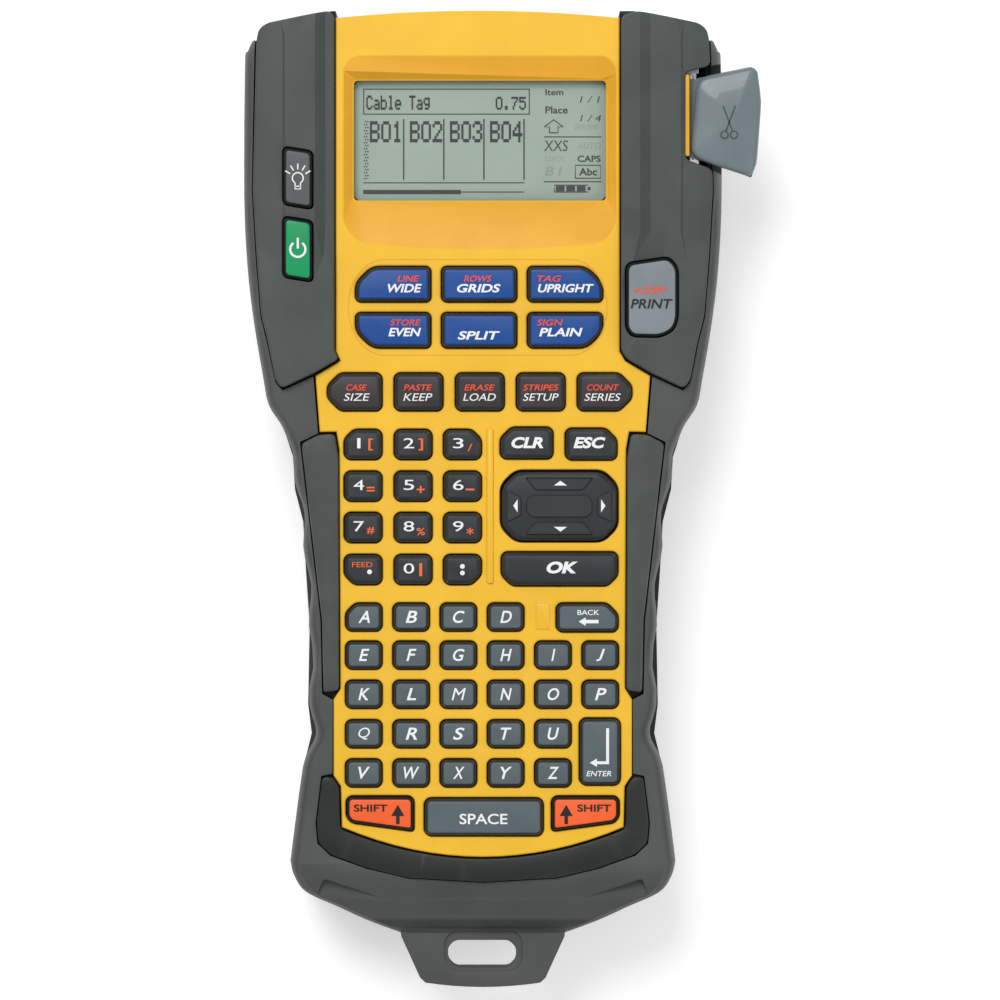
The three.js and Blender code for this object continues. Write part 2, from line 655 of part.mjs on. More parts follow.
function powerJack() {
  const half = JACK_OPENING - GAP;
  const housing = block(-62.6, JACK_Y - half, JACK_Z - half, -52, JACK_Y + half, JACK_Z + half);
  const bore = circle([JACK_Y, JACK_Z], JACK_BORE_RADIUS, 12);
  return housing.subtract(loft([ringAtX(bore, -64), ringAtX(bore, -54)]));
}
addPiece("power_jack", powerJack(), 0x202224);

SCREWS_AT.forEach((at, i) => {
  const seat = screwSeat(at);
  const head = cylinder(at, 2.8, seat - 2.2, seat - GAP);
  const recessCut = cylinder(at, 1.1, seat - 3, seat - 1.4, 6);
  const shank = cylinder(at, 1.4, seat - 0.5, SPLIT_Z + 10, 10);
  addPiece(`housing_screw_${i + 1}`, head.subtract(recessCut).add(shank), STEEL, 0.35, 0.9);
});

// ---------------------------------------------------------------- printing mechanism
function gearOutline(centre, teeth, phase) {
  const pitch = (teeth * TOOTH_MODULE) / 2;
  const corners = [
    [-0.31, pitch - 0.95 * TOOTH_MODULE],
    [-0.13, pitch + 0.75 * TOOTH_MODULE],
    [0.13, pitch + 0.75 * TOOTH_MODULE],
    [0.31, pitch - 0.95 * TOOTH_MODULE],
  ];
  return Array.from({ length: teeth }, (_, i) => i).flatMap((i) =>
    corners.map(([share, radius]) => {
      const angle = phase + ((i + share) * 2 * Math.PI) / teeth;
      return [centre[0] + radius * Math.cos(angle), centre[1] + radius * Math.sin(angle)];
    })
  );
}
const TEETH = { pinion: 12, idler: 20, platen: 15 };
const directionTo = (from, to) => Math.atan2(to[1] - from[1], to[0] - from[0]);
// A tooth of the first gear points at the second, whose gap points back.
const idlerPhase = directionTo(IDLER_AT, MOTOR_AT);
const pinionPhase = directionTo(MOTOR_AT, IDLER_AT) + Math.PI / TEETH.pinion;
const towardsPlaten = directionTo(IDLER_AT, PLATEN_AT);
const idlerTurns = ((towardsPlaten - idlerPhase) * TEETH.idler) / (2 * Math.PI);
const platenTurns = idlerTurns - Math.floor(idlerTurns) + 0.5;
const platenPhase = directionTo(PLATEN_AT, IDLER_AT) + (platenTurns * 2 * Math.PI) / TEETH.platen;
const gear = (centre, teeth, phase) =>
  prism(gearOutline(centre, teeth, phase), GEAR_Z, GEAR_Z + GEAR_THICKNESS);
const boreAt = (centre, shaft) => cylinder(centre, boreRadius(shaft), 0, 50);

const MOTOR_SHAFT_RADIUS = 1;
const STUB_RADIUS = 1.5;
addPiece(
  "motor_pinion",
  gear(MOTOR_AT, TEETH.pinion, pinionPhase).subtract(boreAt(MOTOR_AT, MOTOR_SHAFT_RADIUS)),
  NYLON_CREAM
);
addPiece(
  "idler_gear",
  gear(IDLER_AT, TEETH.idler, idlerPhase).subtract(boreAt(IDLER_AT, STUB_RADIUS)),
  NYLON_CREAM
);
function driveMotor() {
  const can = cylinder(MOTOR_AT, 7.4, 8, 31);
  const neck = cylinder(MOTOR_AT, 3, 30.5, 32.4);
  const shaft = cylinder(MOTOR_AT, MOTOR_SHAFT_RADIUS, 32, 35.6);
  return union([can, neck, shaft]);
}
addPiece("drive_motor", driveMotor(), STEEL, 0.35, 0.9);

function platenRoller() {
  const sleeve = cylinder(PLATEN_AT, 5, 9, 31, 24);
  const shaft = cylinder(PLATEN_AT, STUB_RADIUS, 6, FRAME_Z + FRAME_THICKNESS);
  return union([sleeve, shaft, gear(PLATEN_AT, TEETH.platen, platenPhase)]);
}
addPiece("platen_roller", platenRoller(), 0x2a2a2c);

function printHead() {
  const sink = block(46, 104, 8, 47.6, 119, 33);
  const ceramic = block(44.4, 108.5, 9, 46.2, 116, 31);
  return sink.add(ceramic);
}
addPiece("print_head", printHead(), 0xb9b2a2, 0.4, 0.4);

function cassetteCase() {
  const outline = [[-43, 39], [40, 39], [40, 88], [27.5, 96], [27.5, 118.6], [-43, 118.6]];
  const skin = prism(outline, ...CASSETTE_Z);
  const hollow = prism(grown(outline, -1.4), CASSETTE_Z[0] + 1.4, CASSETTE_Z[1] - 1.4);
  const holes = [TAPE_SPOOL_AT, RIBBON_SPOOL_AT].map((at) => cylinder(at, SPINDLE_RADIUS + 1.2, 0, 40));
  const lookIn = block(-36, 58, 0, -30, 100, CASSETTE_Z[0] + 2);
  return without(skin.subtract(hollow), [...holes, lookIn]);
}
addPiece("cassette_case", cassetteCase(), 0x9aa0a2);

function spool(at, hub, roll) {
  const flange = cylinder(at, hub + 2, 7.2, 8.4, 20);
  const core = cylinder(at, hub, 8, 27.4, 20);
  const wound = cylinder(at, roll, 8.4, 26.4, 28);
  return union([flange, core, wound]).subtract(boreAt(at, SPINDLE_RADIUS));
}
addPiece("tape_spool", spool(TAPE_SPOOL_AT, 7, 25.5), 0xf0efe8);
addPiece("ribbon_take_up_spool", spool(RIBBON_SPOOL_AT, 5, 10.5), 0x1e1e20);

const LUGS = [[91, 93.8], [117.8, 120.8]];
function mechanismFrame() {
  const outline = [[-50, 37.2], [50.5, 37.2], [52.5, 66], [59.6, 88], [59.6, 120.8], [-50, 120.8]];
  const top = FRAME_Z + FRAME_THICKNESS;
  const plate = prism(outline, FRAME_Z, top).subtract(block(53.4, 93.8, 30, 70, 117.8, 45));
  const spindles = [TAPE_SPOOL_AT, RIBBON_SPOOL_AT].map((at) => cylinder(at, SPINDLE_RADIUS, 6.4, top));
  const stub = cylinder(IDLER_AT, STUB_RADIUS, GEAR_Z - 0.6, top);
  const lugs = LUGS.map(([y0, y1]) => block(54.6, y0, FRAME_Z, 59.6, y1, 48));
  const anvil = block(40.6, 121, 9, 43, 124, 33).add(block(36, 118.6, 31, 43, 124, top));
  return without(union([plate, ...spindles, stub, ...lugs, anvil]), [
    cylinder(PLATEN_AT, boreRadius(STUB_RADIUS), 34, 40),
    rod(LEVER_PIVOT, boreRadius(LEVER_PIN_RADIUS), 85, 125),
    ...SCREWS_AT.map((at) => cylinder(at, 4.2, 30, 44)),
  ]);
}
addPiece("mechanism_frame", mechanismFrame(), 0x8d9396, 0.4, 0.6);

// ---------------------------------------------------------------- cutter
addPiece("lever_pin", rod(LEVER_PIVOT, LEVER_PIN_RADIUS, 91.4, 120.4), STEEL, 0.3, 0.9);

const LEVER_BARREL_RADIUS = 2.8;
const LEVER_WING_Z = [47.6, 52.6];
const TAIL_END_Z = 34;
function cutterLever() {
  const wingOutline = [
    [57.3, 94.6],
    [74.1, 89],
    [75.6, 93],
    [76.9, 110],
    [75.8, 118.4],
    [74.2, 119.6],
    [59, 116.4],
  ];
  const wing = bevelledPlate(wingOutline, ...LEVER_WING_Z, 1.4);
  const barrel = rod(LEVER_PIVOT, LEVER_BARREL_RADIUS, 94.8, 116.2, 20);
  const tail = block(56.6, 111.6, TAIL_END_Z, 58.4, 115.4, LEVER_PIVOT[1]);
  return union([wing, barrel, tail]).subtract(rod(LEVER_PIVOT, boreRadius(LEVER_PIN_RADIUS), 80, 125));
}
addPiece("cutter_lever", cutterLever(), 0x73807f, 0.4);

function bladeCarrier() {
  const slider = block(48.6, 122.2, 10, 54, 127.4, 33.2);
  const arm = block(52.4, 111.8, 33.2, 56.2, 127.4, 35.6);
  const seat = block(47.6, 122.2, 8.6, 49, 124.2, 34);
  return union([slider, arm, seat]);
}
addPiece("blade_carrier", bladeCarrier(), NYLON_CREAM);
const bladeEdge = [[45.8, 124.9], [48.3, 124.5], [48.3, 125.3]];
addPiece("cutter_blade", prism(bladeEdge, 10, 32), STEEL, 0.2, 1);

// The reference point is the middle of the rest plane under the whole object.
const bounds = new THREE.Box3().setFromObject(assembly);
const middle = bounds.getCenter(new THREE.Vector3());
assembly.position.set(-middle.x, -middle.y, -bounds.min.z);

export default assembly;
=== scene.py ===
"""Looks of the handheld label maker: shells, keys, legends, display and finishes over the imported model."""

import json
import math

import bpy
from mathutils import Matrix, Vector
from mathutils.geometry import delaunay_2d_cdt


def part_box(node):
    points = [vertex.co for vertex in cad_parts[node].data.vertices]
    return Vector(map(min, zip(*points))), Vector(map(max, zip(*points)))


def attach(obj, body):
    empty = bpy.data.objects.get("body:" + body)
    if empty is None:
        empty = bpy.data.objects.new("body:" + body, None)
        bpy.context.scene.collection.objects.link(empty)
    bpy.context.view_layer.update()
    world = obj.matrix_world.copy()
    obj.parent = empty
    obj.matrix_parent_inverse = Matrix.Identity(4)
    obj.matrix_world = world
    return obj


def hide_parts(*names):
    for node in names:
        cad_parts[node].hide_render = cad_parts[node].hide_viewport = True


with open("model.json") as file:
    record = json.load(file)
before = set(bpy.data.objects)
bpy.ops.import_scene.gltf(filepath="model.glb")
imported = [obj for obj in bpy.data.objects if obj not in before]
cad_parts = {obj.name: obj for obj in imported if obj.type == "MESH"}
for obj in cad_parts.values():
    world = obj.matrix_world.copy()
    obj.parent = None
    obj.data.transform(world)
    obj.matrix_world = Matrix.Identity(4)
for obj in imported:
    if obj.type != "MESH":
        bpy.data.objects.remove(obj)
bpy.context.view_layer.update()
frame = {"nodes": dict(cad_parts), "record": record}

# ---------------------------------------------------------------- driving dimensions
# Sizes are millimetres: x across from the centre line, y along, z over the rest plane.
MM = 0.001
SHELL_LOW, SHELL_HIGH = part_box("front_shell")
CENTRE_X = (SHELL_LOW.x + SHELL_HIGH.x) / 2
CENTRE_Y = 0.0
FACE_Z = 50.0
SEAT_Z = 48.0
SPLIT_Z = 26.0
CAVITY_TOP_Z = 45.6
KEY_BASE_Z = 43.2
KEY_CLEARANCE = 0.35
GAP = 0.3
RIM = 0.45
PANEL_Z = 53.0
LCD_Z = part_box("lcd_module")[1].z / MM
LETTER_PITCH = 13.04

# Outer body: y, half width, height of the back, height of the front.
BODY_STATIONS = [
    (135, 43.5, 13, FACE_Z),
    (133.6, 50.5, 9, FACE_Z),
    (131.6, 58.8, 6, FACE_Z),
    (129.5, 62.6, 4, FACE_Z),
    (124, 65.6, 1.2, FACE_Z),
    (120, 66.2, 0, FACE_Z),
    (85, 66.4, 0, FACE_Z),
    (65, 65.5, 0, FACE_Z),
    (49.5, 63.7, 0, FACE_Z),
    (34, 61.1, 0, FACE_Z),
    (26.3, 59.5, 0, FACE_Z),
    (20, 55.6, 0, FACE_Z),
    (12, 53, 6, FACE_Z),
    (3, 52.1, 6, FACE_Z),
    (-6, 50.6, 6, FACE_Z),
    (-20, 49.4, 6, FACE_Z),
    (-35, 48.4, 6, FACE_Z),
    (-57, 48.4, 6, FACE_Z),
    (-65, 47.8, 6, FACE_Z),
    (-74, 50, 6, FACE_Z),
    (-97, 53.1, 6, FACE_Z),
    (-101, 53.4, 0, FACE_Z),
    (-105, 52.2, 0, FACE_Z - 1),
    (-108.8, 49.2, 2, FACE_Z - 3),
    (-112.7, 40.8, 6, FACE_Z - 5),
    (-116.5, 32.6, 11, FACE_Z - 7),
    (-120, 23.5, 17, FACE_Z - 10),
]
SCALLOP_PITCH = 20.5
SCALLOP_PEAK_Y = 7.0
SCALLOP_DEPTH = 0.7

# Half of the line where the bumper meets the face.
FACE_EDGE = [
    (62.9, 120.4), (63.6, 85.4), (62.6, 68), (61.2, 50.6), (59.5, 44), (57, 32.5), (55.2, 30.4),
    (46.6, 34.3), (45.3, 18.3), (50.3, 15.9), (44.6, -33.2), (44.2, -53.4), (41.2, -55), (41.3, -75.6),
    (44.4, -76.2), (46, -89), (45.5, -94.7), (42, -98), (32, -101.6), (20.6, -104.3),
]
FACE_EDGE_BOTTOM = (0, -105.5)

BEZEL_LEFT_X = -40.6
BEZEL_RIGHT_X = 37.8
BEZEL_FLARE = [(39.3, 38.4), (46.2, 34.3), (45, 18.7), (40.4, 18.8), (39.6, 14)]
BEZEL_HANDLE = [(39.3, -52), (41.2, -55), (41.2, -76), (39.2, -79), (38.9, -90.3)]
BEZEL_BOTTOM = (0, -98.5)

WINDOW = (-35.6, 82.7, 34.0, 115.8)
RECESS_FLOOR_Z = 47.6

# Places clear of the object, where cutting shapes end.
BEYOND_EXIT_Y = 140
ABOVE_Z = 60


# ---------------------------------------------------------------- outlines
def at(x, y, z):
    return Vector((CENTRE_X + x * MM, CENTRE_Y + y * MM, z * MM))


def mirrored(outline):
    return [(-x, y) for x, y in reversed(outline)]


def area(outline):
    return sum(a[0] * b[1] - b[0] * a[1] for a, b in zip(outline, outline[1:] + outline[:1])) / 2


def turning_left(outline):
    """The outline in counter-clockwise order."""
    return outline if area(outline) > 0 else outline[::-1]


def rectangle(x0, y0, x1, y1):
    return [(x0, y0), (x1, y0), (x1, y1), (x0, y1)]


def cut_box(cx, cy, width, height, cuts=(1.3, 1.3, 1.3, 1.3)):
    """A rectangle with corner cuts, listed from the lower left one, counter-clockwise."""
    x0, x1 = cx - width / 2, cx + width / 2
    y0, y1 = cy - height / 2, cy + height / 2
    a, b, c, d = cuts
    return [(x0, y0 + a), (x0 + a, y0), (x1 - b, y0), (x1, y0 + b),
            (x1, y1 - c), (x1 - c, y1), (x0 + d, y1), (x0, y1 - d)]


def grown(outline, distance):
    """A counter-clockwise outline grown by a distance, or shrunk by a negative one."""
    result = []
    count = len(outline)
    for i, point in enumerate(outline):
        here = Vector(point)
        into = (here - Vector(outline[i - 1])).normalized()
        out = (Vector(outline[(i + 1) % count]) - here).normalized()
        bisector = Vector((into.y + out.y, -into.x - out.x))
        moved = here + bisector * (2 * distance / max(bisector.length_squared, 0.4))
        result.append((moved.x, moved.y))
    return result


def rounded(outline, radius, steps=5):
    """The outline with an arc at each corner, smaller where its sides are short."""
    result = []
    count = len(outline)
    for i, point in enumerate(outline):
        here = Vector(point)
        back = Vector(outline[i - 1]) - here
        ahead = Vector(outline[(i + 1) % count]) - here
        reach = min(radius, 0.48 * back.length, 0.48 * ahead.length)
        start = here + back.normalized() * reach
        end = here + ahead.normalized() * reach
        for k in range(steps + 1):
            t = k / steps
            p = start * (1 - t) ** 2 + here * (2 * t * (1 - t)) + end * t ** 2
            result.append((p.x, p.y))
    return result


def bow(start, peak, end, steps):
    """Points along a parabola through a start, a peak and an end."""
    cx = 2 * peak[0] - (start[0] + end[0]) / 2
    cy = 2 * peak[1] - (start[1] + end[1]) / 2
    points = []
    for k in range(steps + 1):
        t = k / steps
        weights = ((1 - t) ** 2, 2 * t * (1 - t), t ** 2)
        points.append((
            weights[0] * start[0] + weights[1] * cx + weights[2] * end[0],
            weights[0] * start[1] + weights[1] * cy + weights[2] * end[1],
        ))
    return points


def circle(cx, cy, radius, sides=24):
    angles = [2 * math.pi * (i + 0.5) / sides for i in range(sides)]
    return [(cx + radius * math.cos(a), cy + radius * math.sin(a)) for a in angles]


def inside(point, outline):
    x, y = point
    hit = False
    for (x0, y0), (x1, y1) in zip(outline, outline[1:] + outline[:1]):
        if (y0 > y) != (y1 > y) and x < (x1 - x0) * (y - y0) / (y1 - y0) + x0:
            hit = not hit
    return hit


def between(value, table):
    """Straight-line look-up in (key, value) pairs sorted by rising key."""
    if value <= table[0][0]:
        return table[0][1]
    for (a, fa), (b, fb) in zip(table, table[1:]):
        if value <= b:
            return fa + (fb - fa) * (value - a) / (b - a)
    return table[-1][1]


def smooth_step(low, high, value):
    t = min(max((value - low) / (high - low), 0), 1)
    return t * t * (3 - 2 * t)


def spline(points, steps):
    """Catmull-Rom points through tuples of any length."""
    result = []
    for i in range(len(points) - 1):
        p0 = points[max(i - 1, 0)]
        p1, p2 = points[i], points[i + 1]
        p3 = points[min(i + 2, len(points) - 1)]
        for k in range(steps):
            t = k / steps
            result.append(tuple(
                0.5 * (2 * b + (c - a) * t + (2 * a - 5 * b + 4 * c - d) * t ** 2
                       + (3 * b - a - 3 * c + d) * t ** 3)
                for a, b, c, d in zip(p0, p1, p2, p3)
            ))
    result.append(tuple(points[-1]))
    return result


def face_outline(top_y):
    right = [(62.4, top_y)] + FACE_EDGE
    return list(reversed(mirrored(right) + right + [FACE_EDGE_BOTTOM]))


def bezel_outline(top):
    """The yellow face, closed at the exit end by the given points from right to left."""
    side = BEZEL_FLARE + BEZEL_HANDLE
    corner = BEZEL_HANDLE[-1]
    bottom = bow((-corner[0], corner[1]), BEZEL_BOTTOM, corner, 16)[1:-1]
    left = [(-x, y) for x, y in side]
    return top + [(BEZEL_LEFT_X, 41)] + left + bottom + side[::-1] + [(BEZEL_RIGHT_X, 41)]


# ---------------------------------------------------------------- solids
class Solid:
    """Points in design millimetres and faces with material numbers."""

    def __init__(self):
        self.points = []
        self.faces = []
        self.slots = []

    def add(self, points):
        first = len(self.points)
        self.points.extend(points)
        return list(range(first, len(self.points)))

    def ring(self, outline, z):
        return self.add([(x, y, z) for x, y in outline])

    def face(self, corners, slot=0):
        self.faces.append(corners)
        self.slots.append(slot)

    def bridge(self, low, high, slot=0):
        count = len(low)
        for i in range(count):
            j = (i + 1) % count
            self.face([low[i], low[j], high[j], high[i]], slot)

    def stack(self, rings, slots=None, close=True):
        """Rings of point numbers joined in turn, with a face at each end."""
        slots = slots or [0] * (len(rings) + 1)
        if close:
            self.face(rings[0][::-1], slots[0])
        for k in range(len(rings) - 1):
            self.bridge(rings[k], rings[k + 1], slots[k + 1])
        if close:
            self.face(rings[-1], slots[-1])
        return self

    def raised(self, outline, steps):
        """A boss over an outline, by inset and height from the bottom up."""
        return self.stack([self.ring(grown(outline, -inset), z) for inset, z in steps])

    def prism(self, outline, low, high, slot=0):
        return self.stack([self.ring(outline, low), self.ring(outline, high)], [slot] * 3)

    def box(self, x0, y0, z0, x1, y1, z1, slot=0):
        return self.prism(rectangle(x0, y0, x1, y1), z0, z1, slot)

    def sheet(self, boundary, holes, down=False, slot=0, creases=()):
        """A face with holes over rings of point numbers already added; creases are open runs of them."""
        loops = [boundary] + holes
        outlines = [[self.points[i][:2] for i in loop] for loop in loops]
        numbers = [i for loop in loops for i in loop]
        edges = []
        start = 0
        for loop in loops:
            count = len(loop)
            edges += [(start + i, start + (i + 1) % count) for i in range(count)]
            start += count
        for crease in creases:
            numbers += crease
            edges += [(start + i, start + i + 1) for i in range(len(crease) - 1)]
            start += len(crease)
        flat = [Vector(self.points[i][:2]) for i in numbers]
        _, _, triangles, origins, _, _ = delaunay_2d_cdt(flat, edges, [], 0, 1e-5)
        for triangle in triangles:
            picked = [origins[i][0] for i in triangle]
            middle = sum((flat[i] for i in picked), Vector((0, 0))) / 3
            if not inside(middle, outlines[0]) or any(inside(middle, hole) for hole in outlines[1:]):
                continue
            corners = [numbers[i] for i in picked]
            self.face(corners[::-1] if down else corners, slot)

    def mesh(self, name):
        data = bpy.data.meshes.new(name)
        data.from_pydata([at(*p) for p in self.points], [], self.faces)
        data.polygons.foreach_set("material_index", self.slots)
        data.update()
        return data


def bake(obj):
    graph = bpy.context.evaluated_depsgraph_get()
    data = bpy.data.meshes.new_from_object(obj.evaluated_get(graph))
    obj.modifiers.clear()
    old = obj.data
    obj.data = data
    bpy.data.meshes.remove(old)


def temporary(solid):
    obj = bpy.data.objects.new("tool", solid.mesh("tool"))
    bpy.context.scene.collection.objects.link(obj)
    return obj


def combine(obj, solid, operation="DIFFERENCE"):
    """Cuts, joins or intersects a mesh object with a solid or another object."""
    tool = solid if isinstance(solid, bpy.types.Object) else temporary(solid)
    modifier = obj.modifiers.new("combine", "BOOLEAN")
    modifier.operation = operation
    modifier.solver = "EXACT"
    modifier.object = tool
    bpy.context.view_layer.update()
    bake(obj)
    bpy.data.objects.remove(tool)
    return obj


def bevel(obj, width, angle, segments=3):
    modifier = obj.modifiers.new("bevel", "BEVEL")
    modifier.width = width * MM
    modifier.segments = segments
    modifier.limit_method = "ANGLE"
    modifier.angle_limit = math.radians(angle)
    modifier.use_clamp_overlap = True
    modifier.harden_normals = False
    bake(obj)


def finish_piece(obj, name, materials, body, replaces=(), sharp=34):
    obj.name = name
    obj.data.name = name
    numbers = [polygon.material_index for polygon in obj.data.polygons]
    obj.data.materials.clear()
    for material in materials:
        obj.data.materials.append(material)
    obj.data.polygons.foreach_set("material_index", numbers)
    obj.data.shade_smooth()
    obj.data.set_sharp_from_angle(angle=math.radians(sharp))
    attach(obj, body)
    if replaces:
        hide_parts(*replaces)
    return obj


def piece(name, solid, materials, body, replaces=(), sharp=34):
    obj = bpy.data.objects.new(name, solid.mesh(name))
    bpy.context.scene.collection.objects.link(obj)
    return finish_piece(obj, name, materials, body, replaces, sharp)


# ---------------------------------------------------------------- materials
RUBBED_GREY = 0.62
DRIFT_SCALE = 14


def linear(red, green, blue):
    channels = [c / 255 for c in (red, green, blue)]
    return [c / 12.92 if c <= 0.04045 else ((c + 0.055) / 1.055) ** 2.4 for c in channels] + [1.0]


def finish(name, colour, roughness=0.45, grain=0.35, depth=0.02, variation=0.08, wear=0.12, metallic=0.0,
           coat=0.0):
    """A moulded surface: slow colour drift, fine grain in the bump, uneven gloss and paler rubbed edges."""
    material = bpy.data.materials.new(name)
    material.use_nodes = True
    nodes = material.node_tree.nodes
    links = material.node_tree.links
    shader = nodes["Principled BSDF"]
    shader.inputs["Metallic"].default_value = metallic
    shader.inputs["Coat Weight"].default_value = coat
    shader.inputs["Specular IOR Level"].default_value = 0.32
    place = nodes.new("ShaderNodeTexCoord")

    def noise(scale_mm, detail):
        texture = nodes.new("ShaderNodeTexNoise")
        texture.inputs["Scale"].default_value = 1 / (scale_mm * MM)
        texture.inputs["Detail"].default_value = detail
        links.new(place.outputs["Object"], texture.inputs["Vector"])
        return texture

    def mix(factor, low, high):
        node = nodes.new("ShaderNodeMix")
        node.data_type = "RGBA"
        links.new(factor, node.inputs["Factor"])
        for socket, value in ((node.inputs["A"], low), (node.inputs["B"], high)):
            if isinstance(value, list):
                socket.default_value = value
            else:
                links.new(value, socket)
        return node.outputs["Result"]

    def spread(value, from_low, from_high, to_low, to_high):
        node = nodes.new("ShaderNodeMapRange")
        links.new(value, node.inputs["Value"])
        limits = {"From Min": from_low, "From Max": from_high, "To Min": to_low, "To Max": to_high}
        for socket, number in limits.items():
            node.inputs[socket].default_value = number
        return node.outputs["Result"]

    base = linear(*colour)
    darker = [c * (1 - variation) for c in base[:3]] + [1.0]
    paler = [min(c * (1 + variation) + 0.002, 1) for c in base[:3]] + [1.0]
    rubbed = [c + (RUBBED_GREY - c) * 0.35 for c in base[:3]] + [1.0]
    drift = noise(DRIFT_SCALE, 4)
    fine = noise(grain, 3)
    shape = nodes.new("ShaderNodeNewGeometry")
    colour_out = mix(spread(drift.outputs["Fac"], 0.35, 0.65, 0, 1), darker, paler)
    edge = spread(shape.outputs["Pointiness"], 0.53, 0.62, 0, wear)
    colour_out = mix(edge, colour_out, rubbed)
    links.new(colour_out, shader.inputs["Base Color"])
    gloss = spread(fine.outputs["Fac"], 0.3, 0.7, roughness - 0.06, roughness + 0.06)
    links.new(gloss, shader.inputs["Roughness"])
    bump = nodes.new("ShaderNodeBump")
    bump.inputs["Strength"].default_value = 1.0
    bump.inputs["Distance"].default_value = depth * MM
    links.new(fine.outputs["Fac"], bump.inputs["Height"])
    links.new(bump.outputs["Normal"], shader.inputs["Normal"])
    return material


def paint(name, colour):
    """Printed ink: even colour, no grain to speak of and no rubbed edges."""
    return finish(name, colour, 0.5, 0.3, 0.002, 0.02, 0)


YELLOW = finish("bezel_yellow", (240, 188, 44), 0.42, 0.4, 0.006, 0.03, 0.05)
# A darker, more orange copy of the bezel yellow: painted shade for the recess walls, the moulded loop and the
# strip by the lever.
YELLOW_PAINTED_SHADE = finish("bezel_recess_painted_shade", (230, 168, 44), 0.45, 0.4, 0.006, 0.04, 0)
COVER = finish("cover_grey", (68, 74, 72), 0.5, 0.35, 0.02, 0.08, 0.15)
CHIN = finish("chin_black", (34, 37, 36), 0.42, 0.35, 0.015, 0.08, 0.12)
BUMPER = finish("bumper_rubber", (58, 62, 60), 0.58, 0.3, 0.025, 0.1, 0.15)
SHELL = finish("shell_black", (48, 51, 50), 0.5, 0.4, 0.03, 0.08, 0.12)
# Black for the power jack; elsewhere painted shade, on the shell core in the gaps and round the side buttons.
BLACK = finish("black_and_painted_gap_shade", (16, 16, 17), 0.6, 0.5, 0.01)
# Dark sides and shoulders of keys of one colour: painted shade.
KEY_EDGE_PAINTED_SHADE = finish("key_edge_painted_shade", (44, 46, 48), 0.45, 0.25, 0.006)
KEY_GREY = finish("key_grey", (84, 96, 101), 0.5, 0.25, 0.006, 0.05, 0.05)
KEY_DARK = finish("key_dark", (40, 46, 49), 0.45, 0.25, 0.006, 0.08, 0.08)
KEY_FUNCTION = finish("key_brown_black", (52, 48, 51), 0.4, 0.25, 0.006, 0.08, 0.08)
KEY_BLUE = finish("key_blue", (16, 72, 146), 0.4, 0.25, 0.006, 0.06, 0.05)
KEY_ORANGE = finish("key_orange", (243, 98, 42), 0.45, 0.25, 0.006, 0.05, 0.04)
BUTTON_GREY = finish("button_grey", (124, 134, 139), 0.45, 0.3, 0.01)
BUTTON_DARK = finish("button_charcoal", (88, 90, 92), 0.45, 0.3, 0.01)
BUTTON_GREEN = finish("button_green", (6, 150, 92), 0.38, 0.3, 0.008)
LEVER = finish("lever_grey", (110, 122, 126), 0.34, 0.4, 0.008, 0.05, 0.1, coat=0.2)
PAINT_WHITE = paint("legend_white", (236, 238, 238))
PAINT_RED = paint("legend_red", (238, 78, 46))
PAINT_ORANGE = paint("legend_orange", (238, 108, 48))
PAINT_BLACK = paint("legend_black", (24, 22, 22))
LCD_GLASS = finish("lcd_grey_green", (150, 166, 154), 0.35, 0.9, 0.001, 0.02, 0)
LCD_INK = finish("lcd_ink", (22, 28, 27), 0.5, 0.6, 0.001, 0.05, 0)
LCD_FAINT = finish("lcd_faint_ink", (132, 147, 136), 0.5, 0.6, 0.001, 0.05, 0)
STEEL = finish("bright_steel", (184, 188, 192), 0.32, 0.2, 0.004, 0.08, 0.1, metallic=1.0)
NYLON = finish("nylon_cream", (221, 215, 200), 0.45, 0.5, 0.004, 0.04, 0.02)
ROLLER = finish("roller_rubber", (32, 32, 34), 0.7, 0.2, 0.01)
BOARD = finish("board_green", (26, 104, 66), 0.3, 0.6, 0.004, 0.15, 0.05)
HEAD = finish("head_alloy", (180, 174, 160), 0.4, 0.3, 0.006, 0.05, 0.1, metallic=0.8)
CASSETTE = finish("cassette_grey", (154, 160, 162), 0.3, 0.5, 0.004)
TAPE = finish("label_white", (238, 238, 230), 0.35, 0.15, 0.01, 0.02, 0)
RIBBON = finish("ribbon_black", (28, 28, 30), 0.3, 0.15, 0.01)
CELLS = finish("cell_wrap", (42, 92, 158), 0.25, 0.8, 0.004, 0.05, 0.05, coat=0.5)
LATCH = finish("latch_grey", (108, 113, 115), 0.45, 0.3, 0.01)
MARK_GREY = paint("mark_grey", (64, 74, 77))


def clear_window():
    """Clear acrylic: mostly see-through, with a clean gloss and faint dust."""
    material = finish("window_clear", (226, 236, 230), 0.08, 1.5, 0.0005, 0.02, 0)
    shader = material.node_tree.nodes["Principled BSDF"]
    shader.inputs["Alpha"].default_value = 0.03
    shader.inputs["IOR"].default_value = 1.3
    return material


WINDOW_CLEAR = clear_window()

CAD_FINISHES = {
    "back_shell": SHELL, "cassette_door": SHELL, "battery_door": SHELL, "power_jack": BLACK,
    "door_latch": LATCH, "main_board": BOARD, "lcd_module": LCD_GLASS, "mechanism_frame": STEEL,
    "drive_motor": STEEL, "motor_pinion": NYLON, "idler_gear": NYLON, "nav_gimbal": NYLON,
    "blade_carrier": NYLON,
    "platen_roller": ROLLER, "print_head": HEAD, "cassette_case": CASSETTE, "tape_spool": TAPE,
    "ribbon_take_up_spool": RIBBON, "battery_pack": CELLS, "lever_pin": STEEL, "cutter_blade": STEEL,
}
for screw in range(1, 5):
    CAD_FINISHES[f"housing_screw_{screw}"] = STEEL


